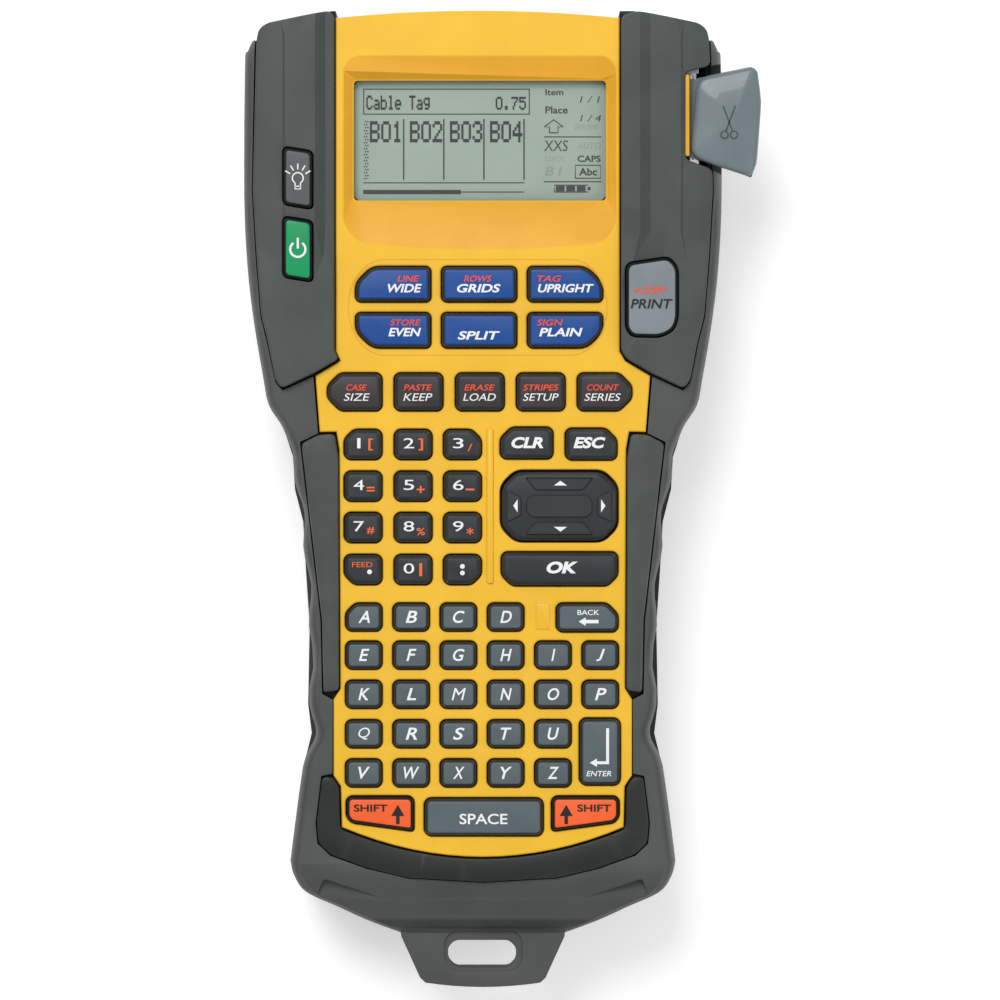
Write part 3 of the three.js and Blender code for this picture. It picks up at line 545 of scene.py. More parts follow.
def dress_cad_node(node, material):
    """The CAD shape stays; its flat facets are merged and its edges get a small radius."""
    obj = frame["nodes"][node]
    obj.data.materials.clear()
    obj.data.materials.append(material)
    weld = obj.modifiers.new("weld", "WELD")
    weld.merge_threshold = 1e-6
    flatten = obj.modifiers.new("flatten", "DECIMATE")
    flatten.decimate_type = "DISSOLVE"
    flatten.angle_limit = math.radians(1)
    edge = obj.modifiers.new("edge", "BEVEL")
    edge.width = 0.2 * MM
    edge.segments = 2
    edge.limit_method = "ANGLE"
    edge.angle_limit = math.radians(40)


for node_name, node_material in CAD_FINISHES.items():
    dress_cad_node(node_name, node_material)


# ---------------------------------------------------------------- keys
# A key's edge material colours its side and shoulder, darker than its top: painted shade.
class Key:
    def __init__(self, corners, rise, edge, top, radius=1.3):
        self.corners = corners
        self.radius = radius
        self.top_z = FACE_Z + rise
        self.edge = edge
        self.top = top

    def line(self, growth=0.0):
        """Its opening's outline grown by a distance, with the corner radius kept in step."""
        radius = max(self.radius + 0.6 * growth, 0.35)
        return rounded(grown(self.corners, growth), radius)


HOT_KEY_ROWS = (59.5, 46.8)
HOT_KEY_COLUMNS = (-24.7, -1.0, 22.7)
FUNCTION_KEY_COLUMNS = (-35.3, -17.7, -0.8, 16.0, 33.6)
FUNCTION_KEY_Y = 29.8
SINGLE_RISE = 1.8
MAT_RISE = 1.6


def key_grid():
    """Outline of every separate key and button, by node name."""
    keys = {}
    for row, y in enumerate(HOT_KEY_ROWS):
        for column, x in enumerate(HOT_KEY_COLUMNS):
            cuts = [1, 1, 1, 1]
            if column == 0:
                cuts[3 if row == 0 else 0] = 4.6
            if column == 2:
                cuts[2 if row == 0 else 1] = 4.6
            name = f"hot_key_{row * 3 + column + 1}"
            keys[name] = Key(cut_box(x, y, 21.1, 10.1, cuts), 2.0, KEY_EDGE_PAINTED_SHADE, KEY_BLUE, 2.4)
    for i, x in enumerate(FUNCTION_KEY_COLUMNS):
        cuts = {0: (3.6, 1.2, 1.2, 3.6), 4: (1.2, 3.6, 3.6, 1.2)}.get(i, (1.2, 1.2, 1.2, 1.2))
        width = 15.4 if i in (0, 4) else 13.8
        outline = cut_box(x, FUNCTION_KEY_Y, width, 10.8, cuts)
        keys[f"function_key_{i + 1}"] = Key(outline, SINGLE_RISE, KEY_EDGE_PAINTED_SHADE, KEY_FUNCTION)
    plain = (1.3, 1.3, 1.3, 1.3)
    for name, x, y, width, height, cuts, top in (
        ("clear_key", 12.1, 15.7, 14.9, 9.1, (1.2, 1.2, 1.2, 3.2), KEY_DARK),
        ("escape_key", 29.9, 15.4, 14.6, 9.1, (1.2, 1.2, 3.2, 1.2), KEY_DARK),
        ("ok_key", 21.2, -19.0, 32.5, 9.7, (3, 3, 1.2, 1.2), KEY_DARK),
        ("backspace_key", 28.8, -32.4, 17.4, 8.3, (1.2, 1.2, 3.2, 1.2), KEY_GREY),
        ("enter_key", 32.3, -69.4, 11.6, 18.8, plain, KEY_GREY),
        ("space_key", 0.3, -87.4, 33.1, 10.8, plain, KEY_GREY),
    ):
        keys[name] = Key(cut_box(x, y, width, height, cuts), SINGLE_RISE, KEY_EDGE_PAINTED_SHADE, top)
    shift = [
        (18.8, -91.6), (36.3, -89.2), (37.8, -87.4), (37.8, -82.7),
        (36.6, -81.5), (20, -81.5), (18.8, -82.7),
    ]
    # The orange shift keys take the black ink on their sides and shoulders: painted shade.
    keys["shift_key_right"] = Key(shift, SINGLE_RISE, PAINT_BLACK, KEY_ORANGE)
    keys["shift_key_left"] = Key(mirrored(shift), SINGLE_RISE, PAINT_BLACK, KEY_ORANGE)
    return keys


KEYS = key_grid()
NAV_X = 21.1
NAV_Y = -1.7
NAV = Key(cut_box(NAV_X, NAV_Y, 32.8, 20.1, [4.2] * 4), 1.2, KEY_EDGE_PAINTED_SHADE, KEY_DARK, 2.2)
NAV_PAD = Key(cut_box(NAV_X, NAV_Y, 32.3, 19.6, [4.3] * 4), 1.2, KEY_EDGE_PAINTED_SHADE, KEY_DARK, 2.2)
LETTER_ROWS = (("ABCD", -32.3), ("EFGHIJ", -42.8), ("KLMNOP", -53.6), ("QRSTU", -64.5), ("VWXYZ", -75.3))
LETTERS = {
    letter: (-32.8 + LETTER_PITCH * i, y)
    for letters, y in LETTER_ROWS
    for i, letter in enumerate(letters)
}
NUMBER_KEYS = [(x, y) for y in (15.3, 3.8, -7.6, -19.2) for x in (-33.0, -19.2, -5.6)]


def number_key(index):
    cuts = [1.3, 1.3, 1.3, 1.3]
    for corner, key in ((3, 0), (2, 2), (0, 9), (1, 11)):
        if index == key:
            cuts[corner] = 2.8
    x, y = NUMBER_KEYS[index]
    return Key(cut_box(x, y, 10.8, 8.7, cuts), MAT_RISE, KEY_EDGE_PAINTED_SHADE, KEY_DARK)


def letter_key(letter):
    cuts = (1.2, 1.2, 1.2, 2.8) if letter == "A" else (1.2, 1.2, 1.2, 1.2)
    return Key(cut_box(*LETTERS[letter], 10.4, 8.1, cuts), MAT_RISE, KEY_EDGE_PAINTED_SHADE, KEY_GREY)


MAT_KEYS = [number_key(i) for i in range(len(NUMBER_KEYS))]
LETTER_KEYS = [letter_key(letter) for letter in LETTERS]


def raise_key(solid, key, base_z, shoulder=0.75, edge_slot=0, top_slot=1):
    """A key top: straight side, soft shoulder darkened as painted shade and a flat plateau in the key colour.
    """
    top_z = key.top_z
    steps = [
        (0.0, base_z, edge_slot),
        (0.0, top_z - 1.1, edge_slot),
        (0.12, top_z - 0.75, edge_slot),
        (0.4, top_z - 0.4, edge_slot),
        (shoulder, top_z - 0.18, edge_slot),
        (shoulder + 0.16, top_z - 0.05, top_slot),
        (shoulder + 0.4, top_z, top_slot),
    ]
    rings = [solid.ring(key.line(-KEY_CLEARANCE - inset), z) for inset, z, _ in steps]
    solid.face(rings[0][::-1], edge_slot)
    for k in range(len(rings) - 1):
        solid.bridge(rings[k], rings[k + 1], steps[k + 1][2])
    solid.face(rings[-1], top_slot)


SLOT_OF = {part["node"]: part["material_slot"] for part in frame["record"]["subparts"]}

for key_name, key in KEYS.items():
    key_solid = Solid()
    key_solid.prism(key.line(0.7), KEY_BASE_Z, CAVITY_TOP_Z - 0.4, 0)
    raise_key(key_solid, key, KEY_BASE_Z + 0.3)
    piece(f"{key_name}_cap", key_solid, [key.edge, key.top], key_name, [key_name])

letter_solid = Solid()
letter_solid.box(-38.4, -80.2, KEY_BASE_Z, 18.7, -27.6, 45.2, 0)
letter_solid.box(18.9, -58.5, KEY_BASE_Z, 38, -38, 45.2, 0)
for key in LETTER_KEYS:
    raise_key(letter_solid, key, 44.2)
piece("letter_keys", letter_solid, [KEY_EDGE_PAINTED_SHADE, KEY_GREY], "housing", ["letter_keypad"])

number_solid = Solid()
number_solid.box(-39, -24.2, KEY_BASE_Z, 0.4, 20.4, 45.2, 0)
for key in MAT_KEYS:
    raise_key(number_solid, key, 44.2)
piece("number_keys", number_solid, [KEY_EDGE_PAINTED_SHADE, KEY_DARK], "housing", ["number_keypad"])


NAV_TOP = FACE_Z + 1.75


def nav_pad():
    solid = Solid()
    solid.prism(NAV.line(0.3), 43.9, 44.3, 0)
    raise_key(solid, NAV_PAD, 44.1, 0.9)
    cx, cy = NAV_X, NAV_Y
    low, high = FACE_Z + 1.1, NAV_TOP

    def pad(outline_points):
        flat = rounded(outline_points, 0.8)
        steps = ((0, low), (0.05, high - 0.3), (0.35, high))
        solid.stack([solid.ring(grown(flat, -inset), z) for inset, z in steps], [1] * 4)

    pad([(cx - 9.6, cy - 8.0), (cx + 9.6, cy - 8.0), (cx + 6.6, cy - 4.3), (cx - 6.6, cy - 4.3)])
    pad([(cx - 6.6, cy + 4.3), (cx + 6.6, cy + 4.3), (cx + 9.6, cy + 8.0), (cx - 9.6, cy + 8.0)])
    pad([(cx - 14.6, cy - 4.6), (cx - 10.4, cy - 2.6), (cx - 10.4, cy + 2.6), (cx - 14.6, cy + 4.6)])
    pad([(cx + 10.4, cy - 2.6), (cx + 14.6, cy - 4.6), (cx + 14.6, cy + 4.6), (cx + 10.4, cy + 2.6)])
    pad(cut_box(cx, cy, 18.4, 6.4, (1.6, 1.6, 1.6, 1.6)))
    piece("nav_pad_cap", solid, [KEY_EDGE_PAINTED_SHADE, KEY_DARK], "nav_pad", ["nav_pad"])


nav_pad()

LIGHT_CORNERS = [(-55.2, 81.2), (-46.6, 79.8), (-46.6, 96.2), (-55.2, 97.6)]
POWER_CORNERS = [(-55.2, 61.2), (-46.6, 59.8), (-46.6, 77.0), (-55.2, 78.4)]
PRINT_CORNERS = [
    (39.2, 47.2), (41, 44.8), (49, 44.6), (52.8, 46.6),
    (54, 50), (54, 64), (51.4, 67.2), (39.2, 65.4),
]
SIDE_TOP = PANEL_Z + 1.2
SIDE_RISE = SIDE_TOP - FACE_Z
# Each button's side and shoulder is black: painted shade for the dark recess round it.
SIDE_BUTTONS = {
    "light_button": Key(LIGHT_CORNERS, SIDE_RISE, BLACK, BUTTON_DARK, 1.8),
    "power_button": Key(POWER_CORNERS, SIDE_RISE, BLACK, BUTTON_GREEN, 1.8),
    "print_button": Key(PRINT_CORNERS, SIDE_RISE, BLACK, BUTTON_GREY, 2.4),
}
for button_name, button in SIDE_BUTTONS.items():
    button_solid = Solid()
    button_solid.prism(button.line(0.6), KEY_BASE_Z, CAVITY_TOP_Z - 0.4, 0)
    raise_key(button_solid, button, KEY_BASE_Z + 0.3, 0.7)
    piece(f"{button_name}_cap", button_solid, [button.edge, button.top], button_name,
          [button_name])


# ---------------------------------------------------------------- yellow front shell
PLATE_LOW_Z = 46.9
EXIT_ARC = bow((BEZEL_RIGHT_X, 133.0), (-1.4, 135), (BEZEL_LEFT_X, 133.0), 18)


def front_face():
    """The flat yellow face with its openings, as a plate of its own."""
    edge = bezel_outline(EXIT_ARC)
    face = Solid()
    profile = [(0.0, SEAT_Z - 0.6), (0.0, FACE_Z - 0.6), (0.12, FACE_Z - 0.2), (0.42, FACE_Z)]
    outer = [face.ring(grown(edge, -inset), z) for inset, z in profile]
    underside = PLATE_LOW_Z
    low_edge = face.ring(edge, underside)
    face.bridge(low_edge, outer[0])
    for low, high in zip(outer, outer[1:]):
        face.bridge(low, high)
    tops, bottoms = [], []
    for key in [*KEYS.values(), *LETTER_KEYS, *MAT_KEYS, NAV]:
        lip = [
            face.ring(key.line(RIM), FACE_Z),
            face.ring(key.line(RIM * 0.35), FACE_Z - 0.12),
            face.ring(key.line(), FACE_Z - 0.45),
            face.ring(key.line(), underside),
        ]
        for high, low in zip(lip, lip[1:]):
            face.bridge(low, high)
        tops.append(lip[0])
        bottoms.append(lip[-1])
    rim = [
        (-36.6, 73.0), (-33.5, 70.6), (-16, 69.2), (0, 68.8), (16, 69.2), (32.4, 70.6), (35.4, 73.0),
        (37.1, 76.5), (37.1, 119.5), (34.3, 122.6), (-35.8, 122.6), (-38.7, 119.5), (-38.7, 76.5),
    ]
    rim = rounded(rim, 2.4, 4)
    window = rounded(rectangle(*WINDOW), 1.2, 4)
    walls = [
        face.ring(rim, FACE_Z),
        face.ring(grown(rim, -0.35), FACE_Z - 0.2),
    ]
    face.bridge(walls[1], walls[0])
    ledge = face.ring(grown(window, 0.5), RECESS_FLOOR_Z)
    lip = face.ring(window, RECESS_FLOOR_Z - 0.5)
    foot = face.ring(window, underside)
    # The recess wall takes slot 1, the darker yellow: painted shade on the slope down to the window.
    bridge_uneven(face, walls[1], ledge, 1)
    face.bridge(lip, ledge)
    face.bridge(foot, lip)
    face.sheet(outer[-1], tops + [walls[0]])
    face.sheet(low_edge, bottoms + [foot], down=True)
    rib = rounded(rectangle(1.1, -23, 2.9, 19.7), 0.6)
    face.raised(rib, [(0, 49.8), (0, 50.5), (0.15, 50.8), (0.5, 50.9)])
    block = rounded(rectangle(14.6, -35.8, 18.6, -28.4), 0.7)
    face.raised(block, [(0, 49.8), (0.1, 50.2), (0.5, 50.4)])
    return face


def bridge_uneven(solid, outer, inner, slot=0):
    """Joins two rings of different lengths with triangles, by angle about the middle of the inner one."""
    cx = sum(solid.points[i][0] for i in inner) / len(inner)
    cy = sum(solid.points[i][1] for i in inner) / len(inner)
    span_x = max(abs(solid.points[i][0] - cx) for i in inner)
    span_y = max(abs(solid.points[i][1] - cy) for i in inner)

    def angle(i):
        x, y, _ = solid.points[i]
        return math.atan2((y - cy) / span_y, (x - cx) / span_x)

    def turned(ring):
        start = min(range(len(ring)), key=lambda k: angle(ring[k]))
        ordered = ring[start:] + ring[:start]
        return ordered + [ordered[0]]

    a, b = turned(outer), turned(inner)
    i = j = 0
    while i < len(a) - 1 or j < len(b) - 1:
        next_a = angle(a[i + 1]) if i < len(a) - 2 else math.pi * 2
        next_b = angle(b[j + 1]) if j < len(b) - 2 else math.pi * 2
        if j == len(b) - 1 or (i < len(a) - 1 and next_a <= next_b):
            solid.face([a[i], a[i + 1], b[j]], slot)
            i += 1
        else:
            solid.face([b[j + 1], b[j], a[i]], slot)
            j += 1


def copy_of(node):
    obj = bpy.data.objects.new(node, frame["nodes"][node].data.copy())
    bpy.context.scene.collection.objects.link(obj)
    obj.matrix_world = frame["nodes"][node].matrix_world
    return obj


def exit_cutter():
    """Beyond the arched end of the yellow face."""
    end = Solid()
    end.prism([(BEZEL_LEFT_X, BEYOND_EXIT_Y)] + EXIT_ARC[::-1] + [(BEZEL_RIGHT_X, BEYOND_EXIT_Y)], 5, ABOVE_Z)
    return end


def prism_of(outline, low, high):
    return Solid().prism(outline, low, high)


shell_object = copy_of("front_shell")
open_end = bezel_outline([(BEZEL_RIGHT_X, BEYOND_EXIT_Y), (BEZEL_LEFT_X, BEYOND_EXIT_Y)])
combine(shell_object, prism_of(grown(open_end, 0.2), PLATE_LOW_Z, ABOVE_Z))
combine(shell_object, exit_cutter())
# Coloured black as painted shade, seen through the gaps round keys and buttons.
finish_piece(shell_object, "shell_core", [BLACK], "housing", (), 30)
piece("yellow_face", front_face(), [YELLOW, YELLOW_PAINTED_SHADE], "housing", ["front_shell"], 28)


def join(target, other):
    with bpy.context.temp_override(active_object=target, selected_editable_objects=[target, other],
                                   selected_objects=[target, other], object=target):
        bpy.ops.object.join()
    return target


back_object = copy_of("back_shell")
combine(back_object, exit_cutter())
finish_piece(back_object, "rear_shell", [SHELL], "housing", ["back_shell"], 30)


# ---------------------------------------------------------------- cover panels
def finely(outline, step=2.5):
    """The outline with points added so that no side is longer than a step."""
    result = []
    for a, b in zip(outline, outline[1:] + outline[:1]):
        count = max(1, round(math.dist(a, b) / step))
        result += [(a[0] + (b[0] - a[0]) * k / count, a[1] + (b[1] - a[1]) * k / count) for k in range(count)]
    return result


def relief_plate(outline, low, height, creases=(), holes=(), roll=0.7):
    """A plate whose upper side follows a height function, with rolled edges and optional openings."""
    solid = Solid()
    steps = [(0, -1.0), (roll * 0.12, -0.5), (roll * 0.4, -0.17), (roll, 0.0)]

    def ring_at(line, drop):
        return solid.add([(x, y, height(x, y) + drop * roll) for x, y in line])

    base = solid.ring(outline, low)
    rings = [base] + [ring_at(grown(outline, -inset), drop) for inset, drop in steps]
    for a, b in zip(rings, rings[1:]):
        solid.bridge(a, b)
    tops, bottoms = [], []
    for hole in holes:
        hole_base = solid.ring(hole, low)
        hole_rings = [hole_base] + [ring_at(grown(hole, inset * 0.6), drop * 0.6) for inset, drop in steps]
        for a, b in zip(hole_rings, hole_rings[1:]):
            solid.bridge(b, a)
        tops.append(hole_rings[-1])
        bottoms.append(hole_base)
    limit = grown(outline, -roll - 0.25)
    gaps = [grown(hole, roll) for hole in holes]
    runs = []
    for crease in creases:
        run = []
        for x, y in crease:
            if inside((x, y), limit) and not any(inside((x, y), gap) for gap in gaps):
                run.append((x, y, height(x, y)))
            elif run:
                runs.append(solid.add(run))
                run = []
        if run:
            runs.append(solid.add(run))
    solid.sheet(rings[-1], tops, creases=runs)
    solid.sheet(base, bottoms, down=True)
    return solid


LEVER_NOTCH = [(63.3, 91.2), (55.7, 94), (55.7, 118), (62.7, 119.8)]


def upper_outline(inner_x, notch=()):
    lower = [(47, 34.7), (55.3, 30.8), (57, 32.8), (59.3, 44.2), (61, 50.8), (62.4, 68.2), (63.4, 85.4)]
    upper = [
        (62.5, 124), (62, 129.6), (59.6, 131.5), (42.5, 134.9),
        (inner_x, 133.4), (inner_x, 41.2), (39.7, 38.9),
    ]
    return finely(rounded(lower + list(notch) + upper, 1.6, 4))


# Height of the upper panels by distance from the centre line.
FACETS = [
    (37, 51.5), (43.4, 51.3), (46.2, 53), (50.5, 53),
    (54.6, 52.8), (55.1, 52.3), (58.5, 52.1), (64, 50.9),
]


def upper_height(x, y):
    fade = smooth_step(58, 74, y)
    level = 52.7 - 0.5 * smooth_step(57, 63, abs(x))
    return level + (between(abs(x), FACETS) - level) * fade


def upper_creases(side):
    lines = [[(side * x, 74 + 4.5 * k) for k in range(14)] for x in (43.4, 46.2, 50.5, 54.6, 55.1, 58.5)]
    lines += [[(side * (40 + 4 * k), y) for k in range(6)] for y in (52, 58, 66)]
    return lines


def upper_panel(name, side, inner_x):
    outline = upper_outline(inner_x, LEVER_NOTCH if side > 0 else ())
    outline = outline if side > 0 else mirrored(outline)
    holes = [button.line() for button in SIDE_BUTTONS.values() if button.corners[0][0] * side > 0]
    solid = relief_plate(outline, SEAT_Z + GAP, upper_height, upper_creases(side), holes, 0.5)
    piece(f"{name}_cover", solid, [COVER], "housing", [name], 12)


upper_panel("right_upper_panel", 1, BEZEL_RIGHT_X + GAP)
upper_panel("left_upper_panel", -1, -BEZEL_LEFT_X + GAP)

GRIP = [(39.8, 12), (39.6, -52.4), (43.9, -53.1), (44.3, -33.2), (50, 15.6), (45.4, 18), (40.9, 18.2)]


def grip_height(x, _):
    return 51.4 - 0.7 * smooth_step(43, 48.5, abs(x))


for grip_name, grip_line in (("right_grip_panel", GRIP), ("left_grip_panel", mirrored(GRIP))):
    grip_solid = relief_plate(finely(rounded(grip_line, 1.2, 4)), SEAT_Z + GAP, grip_height)
    piece(f"{grip_name}_cover", grip_solid, [COVER], "housing", [grip_name], 25)

CHIN_SIDE = [(41.4, -76.2)] + FACE_EDGE[-6:]


def chin_height(_, y):
    return 50.9 + 0.02 * (y + 76)


def chin_panel():
    left = mirrored(CHIN_SIDE)
    inner_line = bow((-38.9 - GAP, -90.3 - GAP), (0, -98.5 - GAP), (38.9 + GAP, -90.3 - GAP), 20)
    outline = [(-41.4, -76.2), (-39.5, -78.9), *inner_line, (39.5, -78.9)]
    outline += CHIN_SIDE + [FACE_EDGE_BOTTOM] + left[:-1]
    line = finely(grown(rounded(turning_left(outline), 1.4, 3), -0.15), 2.0)
    solid = relief_plate(line, SEAT_Z + GAP, chin_height, roll=0.45)
    piece("chin_cover", solid, [CHIN], "housing", ["chin_panel"], 25)


chin_panel()


# ---------------------------------------------------------------- rubber bumper
def scallop(y):
    """How far the finger grips swell the side at a place along the handle."""
    share = smooth_step(18, 8, y) * smooth_step(-76, -66, y)
    return SCALLOP_DEPTH * share * (math.cos(2 * math.pi * (y - SCALLOP_PEAK_Y) / SCALLOP_PITCH) - 1)


def bumper_section(half_width, back, front):
    rise = front - back
    corners = [
        (half_width - 13, back),
        (half_width - 5, back + 0.05 * rise),
        (half_width - 1, back + 0.18 * rise),
        (half_width, back + 0.42 * rise),
        (half_width, back + 0.66 * rise),
        (half_width - 0.5, back + 0.85 * rise),
        (half_width - 1.4, back + 0.95 * rise),
        (half_width - 3.2, front),
    ]
    right = spline(corners, 3)
    left = [(-x, z) for x, z in reversed(right)]
    return right + left


def bumper_body():
    solid = Solid()
    rings = []
    for y, half_width, back, front in spline(BODY_STATIONS, 4):
        section = bumper_section(half_width + scallop(y), back, front)
        rings.append(solid.add([(x, y, z) for x, z in section]))
    solid.stack(rings)
    return solid


def bumper():
    obj = temporary(bumper_body())
    combine(obj, Solid().box(-90, -150, SPLIT_Z + GAP, 90, 150, ABOVE_Z), "INTERSECT")
    combine(obj, prism_of(grown(face_outline(BEYOND_EXIT_Y), GAP / 2), 0, ABOVE_Z))
    combine(obj, prism_of([(54, 94), (70, 88.6), (70, 121.6), (54, 118)], 40, ABOVE_Z))
    combine(obj, Solid().box(-80, 127, 0, 80, BEYOND_EXIT_Y, ABOVE_Z))
    side = [(24, -111), (23.2, -117), (22.6, -121), (17.4, -132.4), (15.9, -133.8)]
    foot = bow((-15.9, -133.8), (0, -135), (15.9, -133.8), 8)[1:-1]
    tongue = [(-x, y) for x, y in side] + foot + side[::-1]
    combine(obj, prism_of(tongue, SPLIT_Z + GAP, 40), "UNION")
    rim = rounded(cut_box(0.2, -124.9, 21.8, 11.4, (2.4, 2.4, 2.4, 2.4)), 1.4)
    combine(obj, prism_of(rim, 39.2, ABOVE_Z))
    combine(obj, prism_of(rounded(cut_box(-0.25, -125.8, 18.9, 7.6, (2, 2, 2, 2)), 1.2), 0, ABOVE_Z))
    pad = [(44, -104.4), (45.9, -109.2), (31.9, -116), (29.3, -109.4)]
    for line in (pad, mirrored(pad)):
        combine(obj, prism_of(rounded(turning_left(line), 1.2), 46.3, ABOVE_Z))
    bevel(obj, 0.7, 42, 3)
    return finish_piece(obj, "grip_bumper", [BUMPER], "housing", ["rubber_bumper"], 30)


bumper()


# ---------------------------------------------------------------- cutter lever
WING_LOW_Z = 47.7
DOME_RISE = 1.1
WING = [(57.3, 94.6), (74.1, 89), (75.6, 93), (76.9, 110), (75.8, 118.4), (74.2, 119.6), (59, 116.4)]


def shrunk(line, share):
    cx = sum(x for x, _ in line) / len(line)
    cy = sum(y for _, y in line) / len(line)
    return [(cx + (x - cx) * share, cy + (y - cy) * share) for x, y in line]


def lever_wing():
    """A paddle with rolled edges and a slightly domed top."""
    solid = Solid()
    line = finely(rounded(WING, 3.4, 6), 1.2)
    rolled = [(0, WING_LOW_Z), (0, 50.0), (0.15, 50.7), (0.6, 51.2), (1.2, 51.45)]
    rings = [solid.ring(grown(line, -inset), z) for inset, z in rolled]
    inset, shoulder_z = rolled[-1]
    inner = grown(line, -inset)
    for k in range(1, 9):
        share = math.cos(math.pi * k / 18)
        rings.append(solid.ring(shrunk(inner, share), shoulder_z + DOME_RISE * (1 - share ** 2)))
    return solid.stack(rings)


def cutter_lever():
    wing = temporary(lever_wing())
    handle = copy_of("cutter_lever")
    combine(handle, Solid().box(50, 80, WING_LOW_Z, 90, 130, ABOVE_Z))
    join(handle, wing)
    return finish_piece(handle, "lever_handle", [LEVER], "cutter_lever", ["cutter_lever"], 32)


cutter_lever()

# ---------------------------------------------------------------- display window
window_line = rounded(grown(rectangle(*WINDOW), -GAP), 1.0, 4)
window_solid = Solid()
window_solid.raised(window_line, [(0, CAVITY_TOP_Z - 1.4), (0, 46.9), (0.3, 47.2)])
piece("window_pane", window_solid, [WINDOW_CLEAR], "housing", ["display_window"])


# ---------------------------------------------------------------- legends
INK_DEPTH = 0.05
MAT_KEY_TOP = FACE_Z + MAT_RISE
SINGLE_TOP = FACE_Z + SINGLE_RISE


class Ink:
    """Printed marks of one colour on one body, gathered into a single thin piece."""

    def __init__(self, name, material, body, slot, thickness=0.12):
        self.solid = Solid()
        self.name = name
        self.material = material
        self.body = body
        self.slot = slot
        self.thickness = thickness

    def text(self, words, cx, cy, width, height, z, shear=0.22, bold=0.012):
        curve = bpy.data.curves.new("words", "FONT")
        curve.body = words
        curve.shear = shear
        curve.offset = bold
        curve.extrude = 0.5
        curve.resolution_u = 4
        holder = bpy.data.objects.new("words", curve)
        bpy.context.scene.collection.objects.link(holder)
        bpy.context.view_layer.update()
        flat = bpy.data.meshes.new_from_object(holder.evaluated_get(bpy.context.evaluated_depsgraph_get()))
        spots = [v.co.copy() for v in flat.vertices]
        low_x, high_x = min(v.x for v in spots), max(v.x for v in spots)
        low_y, high_y = min(v.y for v in spots), max(v.y for v in spots)
        across, up = width / (high_x - low_x), height / (high_y - low_y)
        numbers = self.solid.add([
            (cx + (v.x - (low_x + high_x) / 2) * across, cy + (v.y - (low_y + high_y) / 2) * up,
             z + (self.thickness if v.z > 0 else -INK_DEPTH))
            for v in spots
        ])
        for polygon in flat.polygons:
            self.solid.face([numbers[i] for i in polygon.vertices])
        bpy.data.objects.remove(holder)
        bpy.data.curves.remove(curve)
        bpy.data.meshes.remove(flat)

    def shape(self, outline, z):
        self.solid.prism(turning_left(outline), z - INK_DEPTH, z + self.thickness)

    def bar(self, x0, y0, x1, y1, z):
        self.shape(rectangle(min(x0, x1), min(y0, y1), max(x0, x1), max(y0, y1)), z)

    def stroke(self, path, width, z):
        """A line of even width through points, as one strip."""
        left, right = [], []
        for i, point in enumerate(path):
            before = Vector(path[max(i - 1, 0)])
            after = Vector(path[min(i + 1, len(path) - 1)])
            way = (after - before).normalized()
            side = Vector((-way.y, way.x)) * width / 2
            left.append((point[0] + side.x, point[1] + side.y))
            right.append((point[0] - side.x, point[1] - side.y))
        for i in range(len(path) - 1):
            self.shape([left[i], left[i + 1], right[i + 1], right[i]], z)

    def arrow(self, tail, tip, shaft, head, z):
        start, end = Vector(tail), Vector(tip)
        way = (end - start).normalized()
        side = Vector((-way.y, way.x))
        neck = end - way * head * 0.85
        self.shape([tuple(p) for p in (start + side * shaft / 2, start - side * shaft / 2,
                                       neck - side * shaft / 2, neck + side * shaft / 2)], z)
        self.shape([tuple(p) for p in (neck - side * head / 2, end, neck + side * head / 2)], z)

    def done(self):
        piece(self.name, self.solid, [self.material], self.body)


def arc(cx, cy, radius, start, end, steps=20):
    angles = [math.radians(start + (end - start) * k / steps) for k in range(steps + 1)]
    return [(cx + radius * math.cos(a), cy + radius * math.sin(a)) for a in angles]


def word(name, material, body, words, x, y, width, height, z, shear=0.22, bold=0.012):
    """One printed word as a piece of its own."""
    ink = Ink(name, material, body, SLOT_OF[body])
    ink.text(words, x, y, width, height, z, shear, bold)
    ink.done()


# Words on the two-line keys: upper word, its place and width, lower word, its place and width, rise of both.
HOT_KEY_WORDS = [
    ("LINE", 4.2, 6.0, "WIDE", 3.2, 9.4, 1.5),
    ("ROWS", -0.4, 7.6, "GRIDS", -0.1, 12.0, 1.5),
    ("TAG", -4.4, 6.6, "UPRIGHT", 0.2, 15.4, 1.5),
    ("STORE", 3.4, 8.4, "EVEN", 3.2, 9.0, 2.1),
    ("", 0, 0, "SPLIT", -0.1, 11.6, 1.2),
    ("SIGN", -4.2, 7.2, "PLAIN", -1.2, 12.0, 2.1),
]
FUNCTION_KEY_WORDS = [
    ("CASE", 0.5, 5.6, "SIZE", 0.6, 7.2, 1.2),
    ("PASTE", -0.2, 7.8, "KEEP", -0.2, 8.0, 1.2),
    ("ERASE", -0.1, 8.4, "LOAD", -0.1, 9.0, 1.2),
    ("STRIPES", 0, 9.8, "SETUP", 0, 9.8, 1.2),
    ("COUNT", -0.5, 8.8, "SERIES", -0.6, 10.0, 1.2),
]


def two_line_words(name, cx, cy, words, lower_height, lower_bold):
    upper, upper_x, upper_width, lower, lower_x, lower_width, lift = words
    z = KEYS[name].top_z
    if upper:
        word(f"{name}_red", PAINT_RED, name, upper, cx + upper_x, cy + lift, upper_width, 1.7, z)
    lower_y = cy + lift - 2.65
    word(f"{name}_white", PAINT_WHITE, name, lower, cx + lower_x, lower_y, lower_width, lower_height, z,
         bold=lower_bold)


for number, words in enumerate(HOT_KEY_WORDS):
    row, column = divmod(number, len(HOT_KEY_COLUMNS))
    two_line_words(f"hot_key_{number + 1}", HOT_KEY_COLUMNS[column], HOT_KEY_ROWS[row], words, 2.35, 0.025)
for number, words in enumerate(FUNCTION_KEY_WORDS):
    two_line_words(f"function_key_{number + 1}", FUNCTION_KEY_COLUMNS[number], FUNCTION_KEY_Y, words, 2.05, 0)

